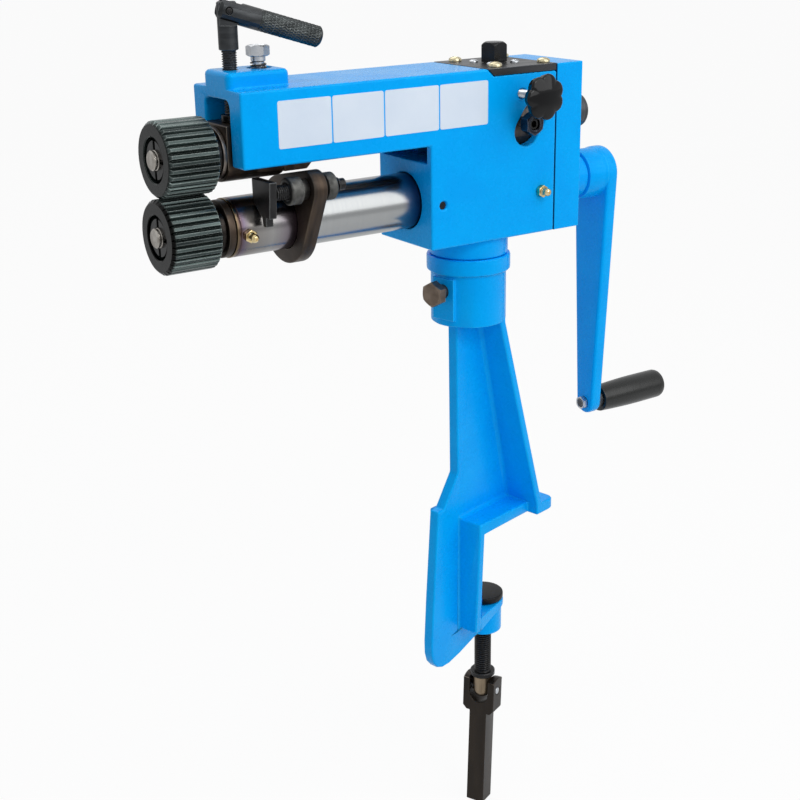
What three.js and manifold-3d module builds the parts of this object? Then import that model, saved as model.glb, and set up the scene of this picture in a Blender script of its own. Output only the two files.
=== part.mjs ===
// Bead roller: a hand cranked bench machine that rolls beads into sheet metal.
// Lengths are in millimetres and +Z is up. The origin is on the axis of the swivel
// post, in the flat underside of the shelf that rests on the bench.
// Inside the head, X runs from the throat wall towards the crank, and heights are
// taken from the axis of the lower shaft.

import * as THREE from 'three';
import { mergeVertices } from 'three/addons/utils/BufferGeometryUtils.js';
import Module from 'manifold-3d';

const wasm = await Module();
wasm.setup();

// Driving dimensions of the head
const shaftSpacing = 50;
const shaftRadius = 10;
const headHalfWidth = 33.3;
const headHeight = 91.4;
const beamReach = 145.5;
const beamBottom = 42.5;
const blockLength = 111.3;
const blockDrop = 31.35;
const coverLength = 24.7;
const postSetback = 56.8;
const tubeRadius = 20.06;
const tubeWall = 5.56;

// Driving dimensions of the rolls, the gears and the crank
const rollRadius = 24.85;
const rollWidth = 36;
const rollTeeth = 33;
const gearTeeth = 20;
const gearWidth = 18;
const crankLength = 193;
const gripRadius = 12.2;
const gripLength = 67.8;

// Driving dimensions of the stand
const standTurn = 13.43;
const socketTop = 223.1;
const socketRadius = 28.55;
const spigotRadius = 18;
const shelfThickness = 9.26;
const shelfReach = 67.5;
const shelfHalfWidth = 26.5;
const jawDepth = 71;
const clampX = 19.5;
const clampScrewRadius = 7.1;

// Clearances: between neighbouring pieces, and of a cutter past the face that it opens
const fit = 0.3;
const overrun = 2;

// Sides of round shapes
const largeSides = 36;
const mediumSides = 24;
const smallSides = 16;
const tinySides = 12;
const curveSteps = 6;

// Heights and places that follow from the driving dimensions
const radiansPerDegree = Math.PI / 180;
const quarterTurn = Math.PI / 2;
const boreRadius = shaftRadius + fit;
const postBossDrop = 45.7;
const shaftHeight = socketTop + fit + postBossDrop;
const coverFront = blockLength + fit;
const coverRear = coverFront + coverLength;

// A closed geometry as a solid, its faces turned outwards
function solidOf(geometry) {
  const bare = geometry.index ? geometry.toNonIndexed() : geometry.clone();
  bare.deleteAttribute('normal');
  bare.deleteAttribute('uv');
  const merged = mergeVertices(bare);
  const places = merged.attributes.position;
  const corners = merged.index.array;
  const a = new THREE.Vector3();
  const b = new THREE.Vector3();
  const c = new THREE.Vector3();
  const kept = [];
  let volume = 0;
  for (let i = 0; i < corners.length; i += 3) {
    const [p, q, r] = [corners[i], corners[i + 1], corners[i + 2]];
    if (p === q || q === r || r === p) continue;
    kept.push(p, q, r);
    a.fromBufferAttribute(places, p);
    b.fromBufferAttribute(places, q);
    c.fromBufferAttribute(places, r);
    volume += a.dot(b.cross(c));
  }
  if (volume < 0) kept.reverse();
  const vertProperties = new Float32Array(places.array);
  const triVerts = new Uint32Array(kept);
  return new wasm.Manifold(new wasm.Mesh({ numProp: 3, vertProperties, triVerts }));
}

function geometryOf(solid) {
  const mesh = solid.getMesh();
  const geometry = new THREE.BufferGeometry();
  geometry.setAttribute('position', new THREE.BufferAttribute(new Float32Array(mesh.vertProperties), 3));
  geometry.setIndex(new THREE.BufferAttribute(new Uint32Array(mesh.triVerts), 1));
  return geometry;
}

function join(...shapes) {
  return geometryOf(shapes.map(solidOf).reduce((sum, next) => sum.add(next)));
}

function cut(shape, ...tools) {
  return geometryOf(tools.map(solidOf).reduce((rest, tool) => rest.subtract(tool), solidOf(shape)));
}

function common(shape, other) {
  return geometryOf(solidOf(shape).intersect(solidOf(other)));
}

// A box from its lowest and highest value on each axis
function box([x0, x1], [y0, y1], [z0, z1]) {
  const geometry = new THREE.BoxGeometry(x1 - x0, y1 - y0, z1 - z0);
  return geometry.translate((x0 + x1) / 2, (y0 + y1) / 2, (z0 + z1) / 2);
}

// Turns a shape made along Y so that it lies along the axis that is named
function alongAxis(geometry, axis) {
  if (axis === 'x') return geometry.rotateZ(-quarterTurn);
  if (axis === 'z') return geometry.rotateX(quarterTurn);
  return geometry;
}

// A round bar between two places on its axis
function rod(axis, start, end, radius, sides) {
  const geometry = new THREE.CylinderGeometry(radius, radius, end - start, sides);
  return alongAxis(geometry.translate(0, (start + end) / 2, 0), axis);
}

// A ball round the origin
function ball(radius, sides) {
  return new THREE.SphereGeometry(radius, sides, sides / 2);
}

// A hexagon bar, from its size across flats
function hexagon(axis, start, end, acrossFlats) {
  return rod(axis, start, end, acrossFlats / Math.sqrt(3), 6);
}

// A turned solid from steps along its axis, each [start, end, radius] or
// [start, end, first radius, last radius]
function turned(axis, steps, sides) {
  const points = [new THREE.Vector2(0, steps[0][0])];
  for (const [start, end, radius, lastRadius = radius] of steps) {
    points.push(new THREE.Vector2(radius, start), new THREE.Vector2(lastRadius, end));
  }
  points.push(new THREE.Vector2(0, steps[steps.length - 1][1]));
  return alongAxis(new THREE.LatheGeometry(points, sides), axis);
}

// A round ring: a bar with a bore right through
function ring(axis, start, end, radius, bore, sides) {
  const points = [[bore, start], [radius, start], [radius, end], [bore, end], [bore, start]];
  const profile = points.map(([x, y]) => new THREE.Vector2(x, y));
  return alongAxis(new THREE.LatheGeometry(profile, sides), axis);
}

// An outline pushed along an axis: on X it lies in Y and Z, on Y in X and Z, on Z in X and Y
function prism(axis, outline, start, end) {
  const isShape = outline instanceof THREE.Shape;
  const shape = isShape ? outline : new THREE.Shape(outline.map(([a, b]) => new THREE.Vector2(a, b)));
  const settings = { depth: end - start, bevelEnabled: false, curveSegments: curveSteps };
  const geometry = new THREE.ExtrudeGeometry(shape, settings).translate(0, 0, start);
  const x = new THREE.Vector3(1, 0, 0);
  const y = new THREE.Vector3(0, 1, 0);
  const z = new THREE.Vector3(0, 0, 1);
  const turn = new THREE.Matrix4();
  if (axis === 'x') turn.makeBasis(y, z, x);
  if (axis === 'y') turn.makeBasis(x, z, y);
  return geometry.applyMatrix4(turn);
}

// The outline of corners [a, b, radius], each rounded where it has a radius
function roundedOutline(corners) {
  const shape = new THREE.Shape();
  const count = corners.length;
  corners.forEach(([a, b, radius = 0], i) => {
    const here = new THREE.Vector2(a, b);
    const before = new THREE.Vector2(...corners[(i + count - 1) % count].slice(0, 2));
    const after = new THREE.Vector2(...corners[(i + 1) % count].slice(0, 2));
    const from = before.sub(here).setLength(radius).add(here);
    const to = after.sub(here).setLength(radius).add(here);
    if (i === 0) shape.moveTo(from.x, from.y);
    else shape.lineTo(from.x, from.y);
    if (radius > 0) shape.quadraticCurveTo(here.x, here.y, to.x, to.y);
  });
  shape.closePath();
  return shape;
}

// The outline round two circles, [a, b, radius] each, with straight sides that touch both
function eyeOutline([a0, b0, radius0], [a1, b1, radius1]) {
  const direction = Math.atan2(b1 - b0, a1 - a0);
  const spread = Math.acos((radius0 - radius1) / Math.hypot(a1 - a0, b1 - b0));
  const shape = new THREE.Shape();
  shape.absarc(a0, b0, radius0, direction + spread, direction - spread + 2 * Math.PI, false);
  shape.absarc(a1, b1, radius1, direction - spread, direction + spread, false);
  shape.closePath();
  return shape;
}

// The outline of a toothed wheel: each tooth is a list of [share of a pitch, radius]
function toothedOutline(teeth, tooth, turnShare) {
  const points = [];
  for (let i = 0; i < teeth; i += 1) {
    for (const [share, radius] of tooth) {
      const angle = ((i + share + turnShare) * 2 * Math.PI) / teeth;
      points.push([radius * Math.cos(angle), radius * Math.sin(angle)]);
    }
  }
  return points;
}

// Head casting: block, hollow beam, boss of the press screw and the swivel post
const channelHalfWidth = 16.8;
const beamRoof = 6.9;
const channelTop = headHeight - beamRoof;
const channelCornerRadius = 6;
const bossRise = 10.6;
const bossTop = headHeight + bossRise;
const bossRear = 100;
const bossHalfWidth = 17.5;
const bossCornerRadius = 5;
const frontWall = 24;
const cavityRadius = 28.3;
const gearLift = 2.5;
const gearRoomShare = 0.539;
const passageHalfWidth = 27.3;
const passageBottom = 30;
const passageTop = 72;
const plateFrontShare = 0.44;
const plateSlope = 6;
const plateThickness = 5.4;
const pressX = 134.5;
const pressThreadRadius = 5;
const liftX = 113.7;
const liftShankRadius = 3.9;
const liftSlotFront = 2.3;
const liftSlotRear = 5.2;
const springSeatRadius = 8;
const springSeatDepth = 10;
const springSeatHeight = bossTop - springSeatDepth;
const adjusterShare = 0.71878;
const adjusterFlangeRadius = 12;
const slotShare = 0.795;
const slotHalfWidth = 10.6;
const slotHalfLength = 17;
const slotLean = 35;
const knobHeight = 72;
const adjusterX = blockLength * adjusterShare;
const slotX = blockLength * slotShare;
const plateFront = blockLength * plateFrontShare;
const knobStudRadius = 3;
const setScrewX = 10.4;
const setScrewRadius = 2.7;
const sideNippleShare = 0.885;
const sideNippleX = blockLength * sideNippleShare;
const nippleStemRadius = 2.6;
const postBossRadius = 29.6;
const spigotLength = 40;
const coverScrewRadius = 3;
const coverScrewY = 26;
const coverScrewLow = 25;
const coverScrewFromTop = 20.4;
const coverScrewHigh = headHeight - coverScrewFromTop;
const coverScrewDepth = 12;
const plateScrewRadius = 2.5;
const plateScrewY = 24;
const plateScrewFrontShare = 0.5615;
const plateScrewRearShare = 0.9569;
const plateScrewDepth = 7;
const plateFloor = headHeight - plateThickness;
const coverScrewPlaces = [-1, 1].flatMap((side) => [
  [side * coverScrewY, -coverScrewLow],
  [side * coverScrewY, coverScrewHigh],
]);
const plateScrewPlaces = [-1, 1].flatMap((side) => [
  [blockLength * plateScrewFrontShare, side * plateScrewY],
  [blockLength * plateScrewRearShare, side * plateScrewY],
]);

// The plate's sloped front edge passes the place named front at the height of the head
function plateOutline(front, floor, top, rear) {
  const edge = (z) => front + (plateSlope * (headHeight - z)) / plateThickness;
  return [[edge(top), top], [edge(floor), floor], [rear, floor], [rear, top]];
}

function headCasting() {
  const acrossHead = [-headHalfWidth, headHalfWidth];
  const bossCorners = [
    [-beamReach, -bossHalfWidth, bossCornerRadius],
    [-bossRear, -bossHalfWidth, bossCornerRadius],
    [-bossRear, bossHalfWidth, bossCornerRadius],
    [-beamReach, bossHalfWidth, bossCornerRadius],
  ];
  const body = join(
    box([0, blockLength], acrossHead, [-blockDrop, headHeight]),
    box([-beamReach, frontWall], acrossHead, [beamBottom, headHeight]),
    prism('z', roundedOutline(bossCorners), channelTop, bossTop),
    rod('z', -postBossDrop, 0, postBossRadius, largeSides).translate(postSetback, 0, 0),
    rod('z', -postBossDrop - spigotLength, 0, spigotRadius, largeSides).translate(postSetback, 0, 0),
  );
  const channel = roundedOutline([
    [-channelHalfWidth, beamBottom - overrun],
    [channelHalfWidth, beamBottom - overrun],
    [channelHalfWidth, channelTop, channelCornerRadius],
    [-channelHalfWidth, channelTop, channelCornerRadius],
  ]);
  const slotCentre = slotHalfLength - slotHalfWidth;
  const slot = eyeOutline([0, -slotCentre, slotHalfWidth], [0, slotCentre, slotHalfWidth]);
  const slotTool = prism('y', slot, -headHalfWidth - overrun, 0)
    .rotateY(slotLean * radiansPerDegree)
    .translate(slotX, 0, shaftSpacing);
  const liftHole = eyeOutline(
    [-liftX - liftSlotFront, 0, liftShankRadius + fit],
    [-liftX + liftSlotRear, 0, liftShankRadius + fit],
  );
  const holes = [
    prism('x', channel, -beamReach - overrun, frontWall),
    box([-overrun, frontWall + overrun], [-passageHalfWidth, passageHalfWidth], [passageBottom, passageTop]),
    rod('x', -overrun, frontWall + overrun, tubeRadius + fit, largeSides),
    rod('x', frontWall, blockLength + overrun, cavityRadius, largeSides),
    rod('x', frontWall, blockLength + overrun, cavityRadius, largeSides).translate(0, 0, shaftSpacing),
    rod('x', frontWall, blockLength * gearRoomShare, cavityRadius, largeSides).translate(0, 0, shaftSpacing + gearLift),
    prism('y', plateOutline(plateFront, plateFloor, headHeight + overrun, blockLength + overrun),
      -headHalfWidth - overrun, headHalfWidth + overrun),
    rod('z', channelTop - overrun, bossTop + overrun, pressThreadRadius + fit, smallSides).translate(-pressX, 0, 0),
    prism('z', liftHole, channelTop - overrun, bossTop + overrun),
    rod('z', springSeatHeight, bossTop + overrun, springSeatRadius, mediumSides).translate(-liftX, 0, 0),
    rod('z', shaftSpacing, headHeight, adjusterFlangeRadius + fit, mediumSides).translate(adjusterX, 0, 0),
    slotTool,
    rod('y', -headHalfWidth - overrun, 0, knobStudRadius + fit, smallSides).translate(adjusterX, 0, knobHeight),
    rod('y', -headHalfWidth - overrun, 0, setScrewRadius + fit, tinySides).translate(setScrewX, 0, 0),
    rod('y', -headHalfWidth - overrun, 0, nippleStemRadius + fit, tinySides).translate(sideNippleX, 0, 0),
  ];
  for (const [y, z] of coverScrewPlaces) {
    const start = blockLength - coverScrewDepth;
    holes.push(rod('x', start, blockLength + overrun, coverScrewRadius + fit, tinySides).translate(0, y, z));
  }
  for (const [x, y] of plateScrewPlaces) {
    const start = plateFloor - plateScrewDepth - fit;
    holes.push(rod('z', start, headHeight, plateScrewRadius + fit, tinySides).translate(x, y, 0));
  }
  return cut(body, ...holes);
}

// Rear cover: closes the gear cavity and carries the rear boss of the lower shaft
const coverDrop = 0.4;
const coverScrewHeadRadius = 4.6;
const coverScrewHead = 6;
const coverScrewSink = 0.5;
const coverScrewSeat = coverRear - coverScrewSink - coverScrewHead;
const coverPocketRadius = 24;
const coverWall = 6.5;
const coverBossRadius = 17;
const coverBossLength = 23.4;
const capSpigotRadius = 10;

function rearCover() {
  const body = join(
    box([coverFront, coverRear], [-headHalfWidth, headHalfWidth], [-blockDrop, headHeight - coverDrop]),
    rod('x', coverRear - coverWall, coverRear + coverBossLength, coverBossRadius, largeSides),
  );
  const pocketEnd = coverRear - coverWall;
  const pocket = rod('x', coverFront - overrun, pocketEnd, coverPocketRadius, mediumSides);
  const holes = [
    pocket,
    pocket.clone().translate(0, 0, shaftSpacing),
    rod('x', coverFront, coverRear + coverBossLength + overrun, boreRadius, mediumSides),
    rod('x', coverFront, coverRear + overrun, capSpigotRadius + fit, mediumSides).translate(0, 0, shaftSpacing),
  ];
  for (const [y, z] of coverScrewPlaces) {
    holes.push(
      rod('x', coverFront - overrun, coverRear + overrun, coverScrewRadius + fit, tinySides).translate(0, y, z),
      rod('x', coverScrewSeat - fit, coverRear + overrun, coverScrewHeadRadius + fit, smallSides).translate(0, y, z),
    );
  }
  return cut(body, ...holes);
}

// Cover screw: a socket head cap screw, sunk in the cover and screwed into the block
const coverScrewSocket = 5;
const coverScrewSocketDepth = 3;

function coverScrew() {
  const tip = blockLength - coverScrewDepth + fit;
  const end = coverScrewSeat + coverScrewHead;
  return cut(
    turned('x', [
      [tip, coverScrewSeat, coverScrewRadius],
      [coverScrewSeat, end, coverScrewHeadRadius],
    ], smallSides),
    hexagon('x', end - coverScrewSocketDepth, end + overrun, coverScrewSocket),
  );
}

// Rear cap: a grey turned plug over the access hole behind the upper shaft
const capRadius = 12.6;
const capLength = 26.5;
const capChamfer = 2;

function rearCap() {
  const seat = coverRear + fit;
  return turned('x', [
    [coverRear - coverWall + fit, seat, capSpigotRadius],
    [seat, seat + capLength - capChamfer, capRadius],
    [seat + capLength - capChamfer, seat + capLength, capRadius, capRadius - capChamfer],
  ], mediumSides);
}

// Lower tube: ground steel, pressed into the front wall, with a flanged bush in its mouth
const tubeProud = 0.2;
const tubeSetIn = 20;
const tubeFront = beamReach + tubeProud;
const nippleX = 137.5;
const nippleAngle = 6.5;
const bushFlangeRadius = 19.4;
const bushFlange = 5.2;
const bushLength = 21;
const lowerBushFront = tubeFront + fit + bushFlange;

function lowerTube() {
  const tube = ring('x', -tubeFront, tubeSetIn, tubeRadius, tubeRadius - tubeWall, largeSides);
  const stemHole = rod('y', -tubeRadius - overrun, 0, nippleStemRadius + fit, tinySides)
    .rotateX(nippleAngle * radiansPerDegree)
    .translate(-nippleX, 0, 0);
  return cut(tube, stemHole);
}

function tubeFrontBush() {
  const seat = tubeFront + fit;
  const bush = join(
    rod('x', -seat - bushFlange, -seat, bushFlangeRadius, largeSides),
    rod('x', -seat, -seat + bushLength, tubeRadius - tubeWall - fit, mediumSides),
  );
  return cut(bush, rod('x', -seat - bushFlange - overrun, overrun, boreRadius, mediumSides));
}

// Rear bearing of the lower shaft: a round carrier in the block, hollowed for the sleeve above it
const carrierShare = 0.79066;
const carrierFront = blockLength * carrierShare;

function lowerBearingCarrier() {
  return cut(
    rod('x', carrierFront, blockLength, cavityRadius - fit, largeSides),
    rod('x', 0, coverRear, boreRadius, mediumSides),
    rod('x', 0, coverRear, cavityRadius + fit, largeSides).translate(0, 0, shaftSpacing),
  );
}

// Grease nipple: stem, hexagon and a necked tip, made pointing along -Y from its seat
const nippleFlats = 8;
const nippleHexHeight = 3.6;
const nippleNeckRadius = 2.1;
const nippleTipRadius = 3;
const nippleLength = 10;
const nippleStem = 3.5;

function greaseNipple() {
  const tipStart = nippleHexHeight + (nippleLength - nippleHexHeight) / 3;
  return join(
    rod('y', -nippleHexHeight / 2, nippleStem, nippleStemRadius, tinySides),
    hexagon('y', -nippleHexHeight, 0, nippleFlats),
    turned('y', [
      [-nippleLength, -tipStart, nippleNeckRadius, nippleTipRadius],
      [-tipStart, -nippleHexHeight / 2, nippleNeckRadius],
    ], tinySides),
  );
}

// Set screw of the tube, sunk in the side of the block
const setScrewSink = 1.8;

function tubeSetScrew() {
  return rod('y', -headHalfWidth + setScrewSink, -tubeRadius - fit, setScrewRadius, tinySides);
}

// Top plate: a dark steel plate let into the top of the block
const postJournalRadius = 7.4;

function topPlate() {
  const outline = plateOutline(plateFront + fit, plateFloor + fit, headHeight, blockLength);
  const holes = [rod('z', plateFloor, headHeight + overrun, postJournalRadius + fit, mediumSides)
    .translate(adjusterX, 0, 0)];
  for (const [x, y] of plateScrewPlaces) {
    holes.push(rod('z', plateFloor, headHeight + overrun, plateScrewRadius + fit, tinySides).translate(x, y, 0));
  }
  return cut(prism('y', outline, -headHalfWidth, headHalfWidth), ...holes);
}

// Plate screw: a pan head with a cross recess
const panRadius = 4.8;
const panHeight = 3.2;
const crossWidth = 1.3;
const crossLength = 5;
const crossDepth = 1.4;

function plateScrew() {
  const seat = headHeight + fit;
  const cross = [seat + panHeight - crossDepth, seat + panHeight + overrun];
  return cut(
    turned('z', [
      [plateFloor - plateScrewDepth, seat, plateScrewRadius],
      [seat, seat + panHeight / 2, panRadius],
      [seat + panHeight / 2, seat + panHeight, panRadius, panRadius / 2],
    ], tinySides),
    box([-crossLength / 2, crossLength / 2], [-crossWidth / 2, crossWidth / 2], cross),
    box([-crossWidth / 2, crossWidth / 2], [-crossLength / 2, crossLength / 2], cross),
  );
}

// Adjuster: square post on the top plate, its flange below, and the eccentric pin that
// shifts the sleeve of the upper shaft
const postSquare = 13.8;
const postRise = 14.6;
const postTop = headHeight + postRise;
const postChamfer = 2;
const postTurn = 12;
const adjusterFlange = 5;
const eccentricity = 3;
const eccentricPinRadius = 3;
const eccentricPinReach = 24.1;

function adjusterPost() {
  const half = postSquare / 2;
  const foot = headHeight + fit;
  const square = join(
    box([-half, half], [-half, half], [foot, postTop - postChamfer]),
    rod('z', postTop - 2 * postChamfer, postTop, half - postChamfer, mediumSides),
  );
  const corners = turned('z', [
    [foot, postTop - postChamfer, half * Math.SQRT2 + fit],
    [postTop - postChamfer, postTop, half * Math.SQRT2 - postChamfer, half],
  ], mediumSides);
  const flangeTop = plateFloor;
  const flangeFoot = flangeTop - adjusterFlange;
  return join(
    common(square, corners).rotateZ(postTurn * radiansPerDegree),
    rod('z', flangeFoot, foot + postChamfer, postJournalRadius, mediumSides),
    rod('z', flangeFoot, flangeTop, adjusterFlangeRadius, mediumSides),
    rod('z', shaftSpacing + eccentricPinReach, flangeTop, eccentricPinRadius, tinySides)
      .translate(0, -eccentricity, 0),
  );
}

// Star knob and its stud, which locks the sleeve
const knobHubRadius = 8.2;
const knobHubStart = 47;
const knobStarStart = 52.5;
const knobStarDepth = 10;
const knobRadius = 16.2;
const knobLobes = 7;
const knobLobeDepth = 1.5;
const knobDome = 3;
const knobStudEnd = 56.5;
const knobStudTip = 22;
const knobSteps = 8;

function lockKnob() {
  const outline = [];
  for (let i = 0; i < knobLobes * knobSteps; i += 1) {
    const angle = (i * 2 * Math.PI) / (knobLobes * knobSteps);
    const lobe = Math.abs(Math.sin((knobLobes * angle) / 2));
    const radius = knobRadius - knobLobeDepth * 2 * (1 - lobe);
    outline.push([radius * Math.cos(angle), radius * Math.sin(angle)]);
  }
  const end = -knobStarStart - knobStarDepth;
  const dome = turned('y', [
    [end, end + knobDome, knobRadius - knobDome, knobRadius],
    [end + knobDome, -knobStarStart - knobDome / 2, knobRadius],
    [-knobStarStart - knobDome / 2, -knobStarStart, knobRadius, knobRadius - knobDome],
  ], mediumSides);
  return cut(
    join(
      common(prism('y', outline, end, -knobStarStart), dome),
      rod('y', -knobStarStart - knobDome, -knobHubStart, knobHubRadius, mediumSides),
    ),
    rod('y', -knobStudEnd - fit, -knobHubStart + overrun, knobStudRadius + fit, smallSides),
  );
}

function lockKnobStud() {
  return rod('y', -knobStudEnd, -knobStudTip, knobStudRadius, smallSides);
}

// Upper shaft train: race, sleeve, stud, nut, self-aligning bush and end nut
const raceRadius = 20;
const raceBore = 17;
const raceHalfLength = 10;
const raceGap = 1;
const pivotHalfLength = 8;
const pivotSteps = 6;
const sleeveFrontShare = 0.593;
const sleeveRearShare = 0.943;
const sleeveFront = blockLength * sleeveFrontShare;
const sleeveRear = blockLength * sleeveRearShare;
const sleeveLip = 6;
const pivotX = sleeveFront + sleeveLip + raceGap + raceHalfLength;
const sleeveLipBore = 16;
const pinSlotHalfLength = 12;
const pinClearance = 0.45;
const pinSlotFloor = 22.5;
const sleeveStudShare = 0.7592;
const sleeveStudX = blockLength * sleeveStudShare;
const sleeveStudRise = 1;
const sleeveStudRadius = 4;
const sleeveStudFoot = 25;
const sleeveStudEnd = 41.6;
const sleeveStudSocket = 4;
const sleeveStudSocketDepth = 4;
const sleeveNutFlats = 14.5;
const sleeveNutStart = 34.8;
const sleeveNutHeight = 8.6;
const sleeveNutChamfer = 1;
const endNutLength = 9;
const endNutFront = pivotX + raceHalfLength + raceGap;
const endNutRadius = 14;
const upperShaftProud = 0.7;
const upperShaftRear = blockLength + upperShaftProud;

function bearingRace() {
  return ring('x', pivotX - raceHalfLength, pivotX + raceHalfLength, raceRadius, raceBore, largeSides);
}

function pivotBush() {
  const ball = [];
  const ballRadius = raceBore - fit;
  for (let i = 0; i < pivotSteps; i += 1) {
    const start = pivotHalfLength * ((2 * i) / pivotSteps - 1);
    const end = pivotHalfLength * ((2 * (i + 1)) / pivotSteps - 1);
    const [first, last] = [start, end].map((x) => Math.sqrt(ballRadius * ballRadius - x * x));
    ball.push([pivotX + start, pivotX + end, first, last]);
  }
  return cut(turned('x', ball, largeSides), rod('x', 0, coverRear, boreRadius, mediumSides));
}

function adjustingSleeve() {
  const slotHalf = eccentricPinRadius + pinClearance;
  return cut(
    rod('x', sleeveFront, sleeveRear, cavityRadius - fit, largeSides),
    rod('x', sleeveFront + sleeveLip, sleeveRear + overrun, raceRadius + fit, largeSides),
    rod('x', sleeveFront - overrun, sleeveRear, sleeveLipBore, mediumSides),
    box([adjusterX - slotHalf, adjusterX + slotHalf], [-pinSlotHalfLength, pinSlotHalfLength],
      [pinSlotFloor, cavityRadius]),
    rod('y', -cavityRadius, -sleeveStudFoot + fit, sleeveStudRadius + fit, smallSides)
      .translate(sleeveStudX, 0, sleeveStudRise),
  );
}

function sleeveStud() {
  return cut(
    rod('y', -sleeveStudEnd, -sleeveStudFoot, sleeveStudRadius, smallSides),
    hexagon('y', -sleeveStudEnd - overrun, -sleeveStudEnd + sleeveStudSocketDepth, sleeveStudSocket),
  );
}

function sleeveNut() {
  const start = -sleeveNutStart - sleeveNutHeight;
  const end = -sleeveNutStart;
  const corner = sleeveNutFlats / Math.sqrt(3);
  const cone = turned('y', [
    [start, start + sleeveNutChamfer, corner - sleeveNutChamfer, corner + fit],
    [start + sleeveNutChamfer, end, corner + fit],
  ], smallSides);
  return cut(
    common(hexagon('y', start, end, sleeveNutFlats), cone),
    rod('y', start - overrun, end + overrun, sleeveStudRadius + fit, smallSides),
  );
}

function upperEndNut() {
  return ring('x', endNutFront, endNutFront + endNutLength, endNutRadius, boreRadius, mediumSides);
}

// Upper bearing block: rides in the channel of the beam and holds the front of the upper shaft
const bearingFront = 148;
const bearingRear = 86;
const bearingHalfWidth = 16.4;
const bearingTop = 69;
const bearingBellyRadius = 19;
const bearingBellyRear = 105;
const bearingHeelBottom = 35.5;
const bearingHeelChamfer = 3.5;
const upperBushRadius = 13;
const upperBushFlangeRadius = 17;
const upperBushFlange = 2.7;
const upperBushLength = 28;
const liftHoleFloor = 62;

function upperBearingBlock() {
  const drop = Math.sqrt(bearingBellyRadius ** 2 - bearingHalfWidth ** 2);
  const lean = Math.asin(drop / bearingBellyRadius);
  const front = new THREE.Shape();
  front.moveTo(bearingHalfWidth, bearingTop);
  front.lineTo(-bearingHalfWidth, bearingTop);
  front.absarc(0, shaftSpacing, bearingBellyRadius, Math.PI + lean, 2 * Math.PI - lean, false);
  front.closePath();
  const heel = [
    [-bearingBellyRear - overrun, bearingHeelBottom],
    [-bearingRear - bearingHeelChamfer, bearingHeelBottom],
    [-bearingRear, bearingHeelBottom + bearingHeelChamfer],
    [-bearingRear, bearingTop],
    [-bearingBellyRear - overrun, bearingTop],
  ];
  const bushEnd = -bearingFront + upperBushLength + fit;
  return cut(
    join(
      prism('x', front, -bearingFront, -bearingBellyRear),
      prism('y', heel, -bearingHalfWidth, bearingHalfWidth),
    ),
    rod('x', -bearingFront - overrun, bushEnd, upperBushRadius + fit, mediumSides).translate(0, 0, shaftSpacing),
    rod('x', -bearingFront, 0, boreRadius, mediumSides).translate(0, 0, shaftSpacing),
    rod('z', liftHoleFloor, bearingTop + overrun, liftShankRadius + fit, smallSides).translate(-liftX, 0, 0),
  );
}

function upperFrontBush() {
  const seat = bearingFront + fit;
  return cut(
    join(
      rod('x', -seat - upperBushFlange, -seat, upperBushFlangeRadius, largeSides),
      rod('x', -seat, -bearingFront + upperBushLength, upperBushRadius, mediumSides),
    ),
    rod('x', -seat - upperBushFlange - overrun, 0, boreRadius, mediumSides),
  );
}

// Lift bolt and its spring, which carry the bearing block up against the press screw
const liftHeadFlats = 13.5;
const liftHeadHeight = 7;
const liftHeadRise = 7.3;
const liftHeadBottom = bossTop + liftHeadRise;
const liftCollarRadius = 4.9;
const liftCollarRise = 4;
const liftCollarBottom = bossTop + liftCollarRise;

function liftBolt() {
  return join(
    turned('z', [
      [liftHoleFloor + fit, liftCollarBottom, liftShankRadius],
      [liftCollarBottom, liftHeadBottom + liftHeadHeight / 2, liftCollarRadius],
    ], smallSides),
    hexagon('z', liftHeadBottom, liftHeadBottom + liftHeadHeight, liftHeadFlats),
  );
}

const springMeanRadius = 4.85;
const springWireRadius = 0.55;
const springCoils = 6.5;
const springStepsPerCoil = 8;
const springWireSides = 5;

// The wire's centre line: a short upright end, the helix, and an upright end again
function springLine() {
  const bottom = springSeatHeight + fit;
  const top = liftCollarBottom - fit;
  const end = 2 * springWireRadius;
  const steps = Math.round(springCoils * springStepsPerCoil);
  const line = [{ angle: 0, z: bottom, climb: 1 }];
  for (let i = 0; i <= steps; i += 1) {
    const z = bottom + end + ((top - bottom - 2 * end) * i) / steps;
    line.push({ angle: (i * 2 * Math.PI) / springStepsPerCoil, z, climb: 0 });
  }
  line.push({ angle: (steps * 2 * Math.PI) / springStepsPerCoil, z: top, climb: 1 });
  return line;
}

function liftSpring() {
  const line = springLine();
  const rings = line.map(({ angle, z, climb }, i) => {
    const out = new THREE.Vector3(Math.cos(angle), Math.sin(angle), 0);
    const round = new THREE.Vector3(-Math.sin(angle), Math.cos(angle), 0);
    const isBend = i === 1 || i === line.length - 2;
    const lift = climb || (isBend ? Math.SQRT1_2 : 0);
    const along = round.multiplyScalar(Math.sqrt(1 - lift * lift)).setZ(lift);
    const side = new THREE.Vector3().crossVectors(along, out);
    const centre = out.clone().multiplyScalar(springMeanRadius).setZ(z);
    return Array.from({ length: springWireSides }, (_, k) => {
      const turn = (k * 2 * Math.PI) / springWireSides;
      return centre.clone()
        .addScaledVector(out, springWireRadius * Math.cos(turn))
        .addScaledVector(side, springWireRadius * Math.sin(turn));
    });
  });
  console.log('least gap of the lift spring to itself, mm:', leastGap(rings).toFixed(3));
  return tubeOfRings(rings);
}

// The least distance between wall points of the wire that lie half a coil or more apart
function leastGap(rings) {
  const apart = springStepsPerCoil / 2;
  let least = Infinity;
  rings.forEach((ringPoints, i) => {
    for (const other of rings.slice(i + apart)) {
      for (const p of ringPoints) {
        for (const q of other) least = Math.min(least, p.distanceTo(q));
      }
    }
  });
  return least;
}

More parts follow.
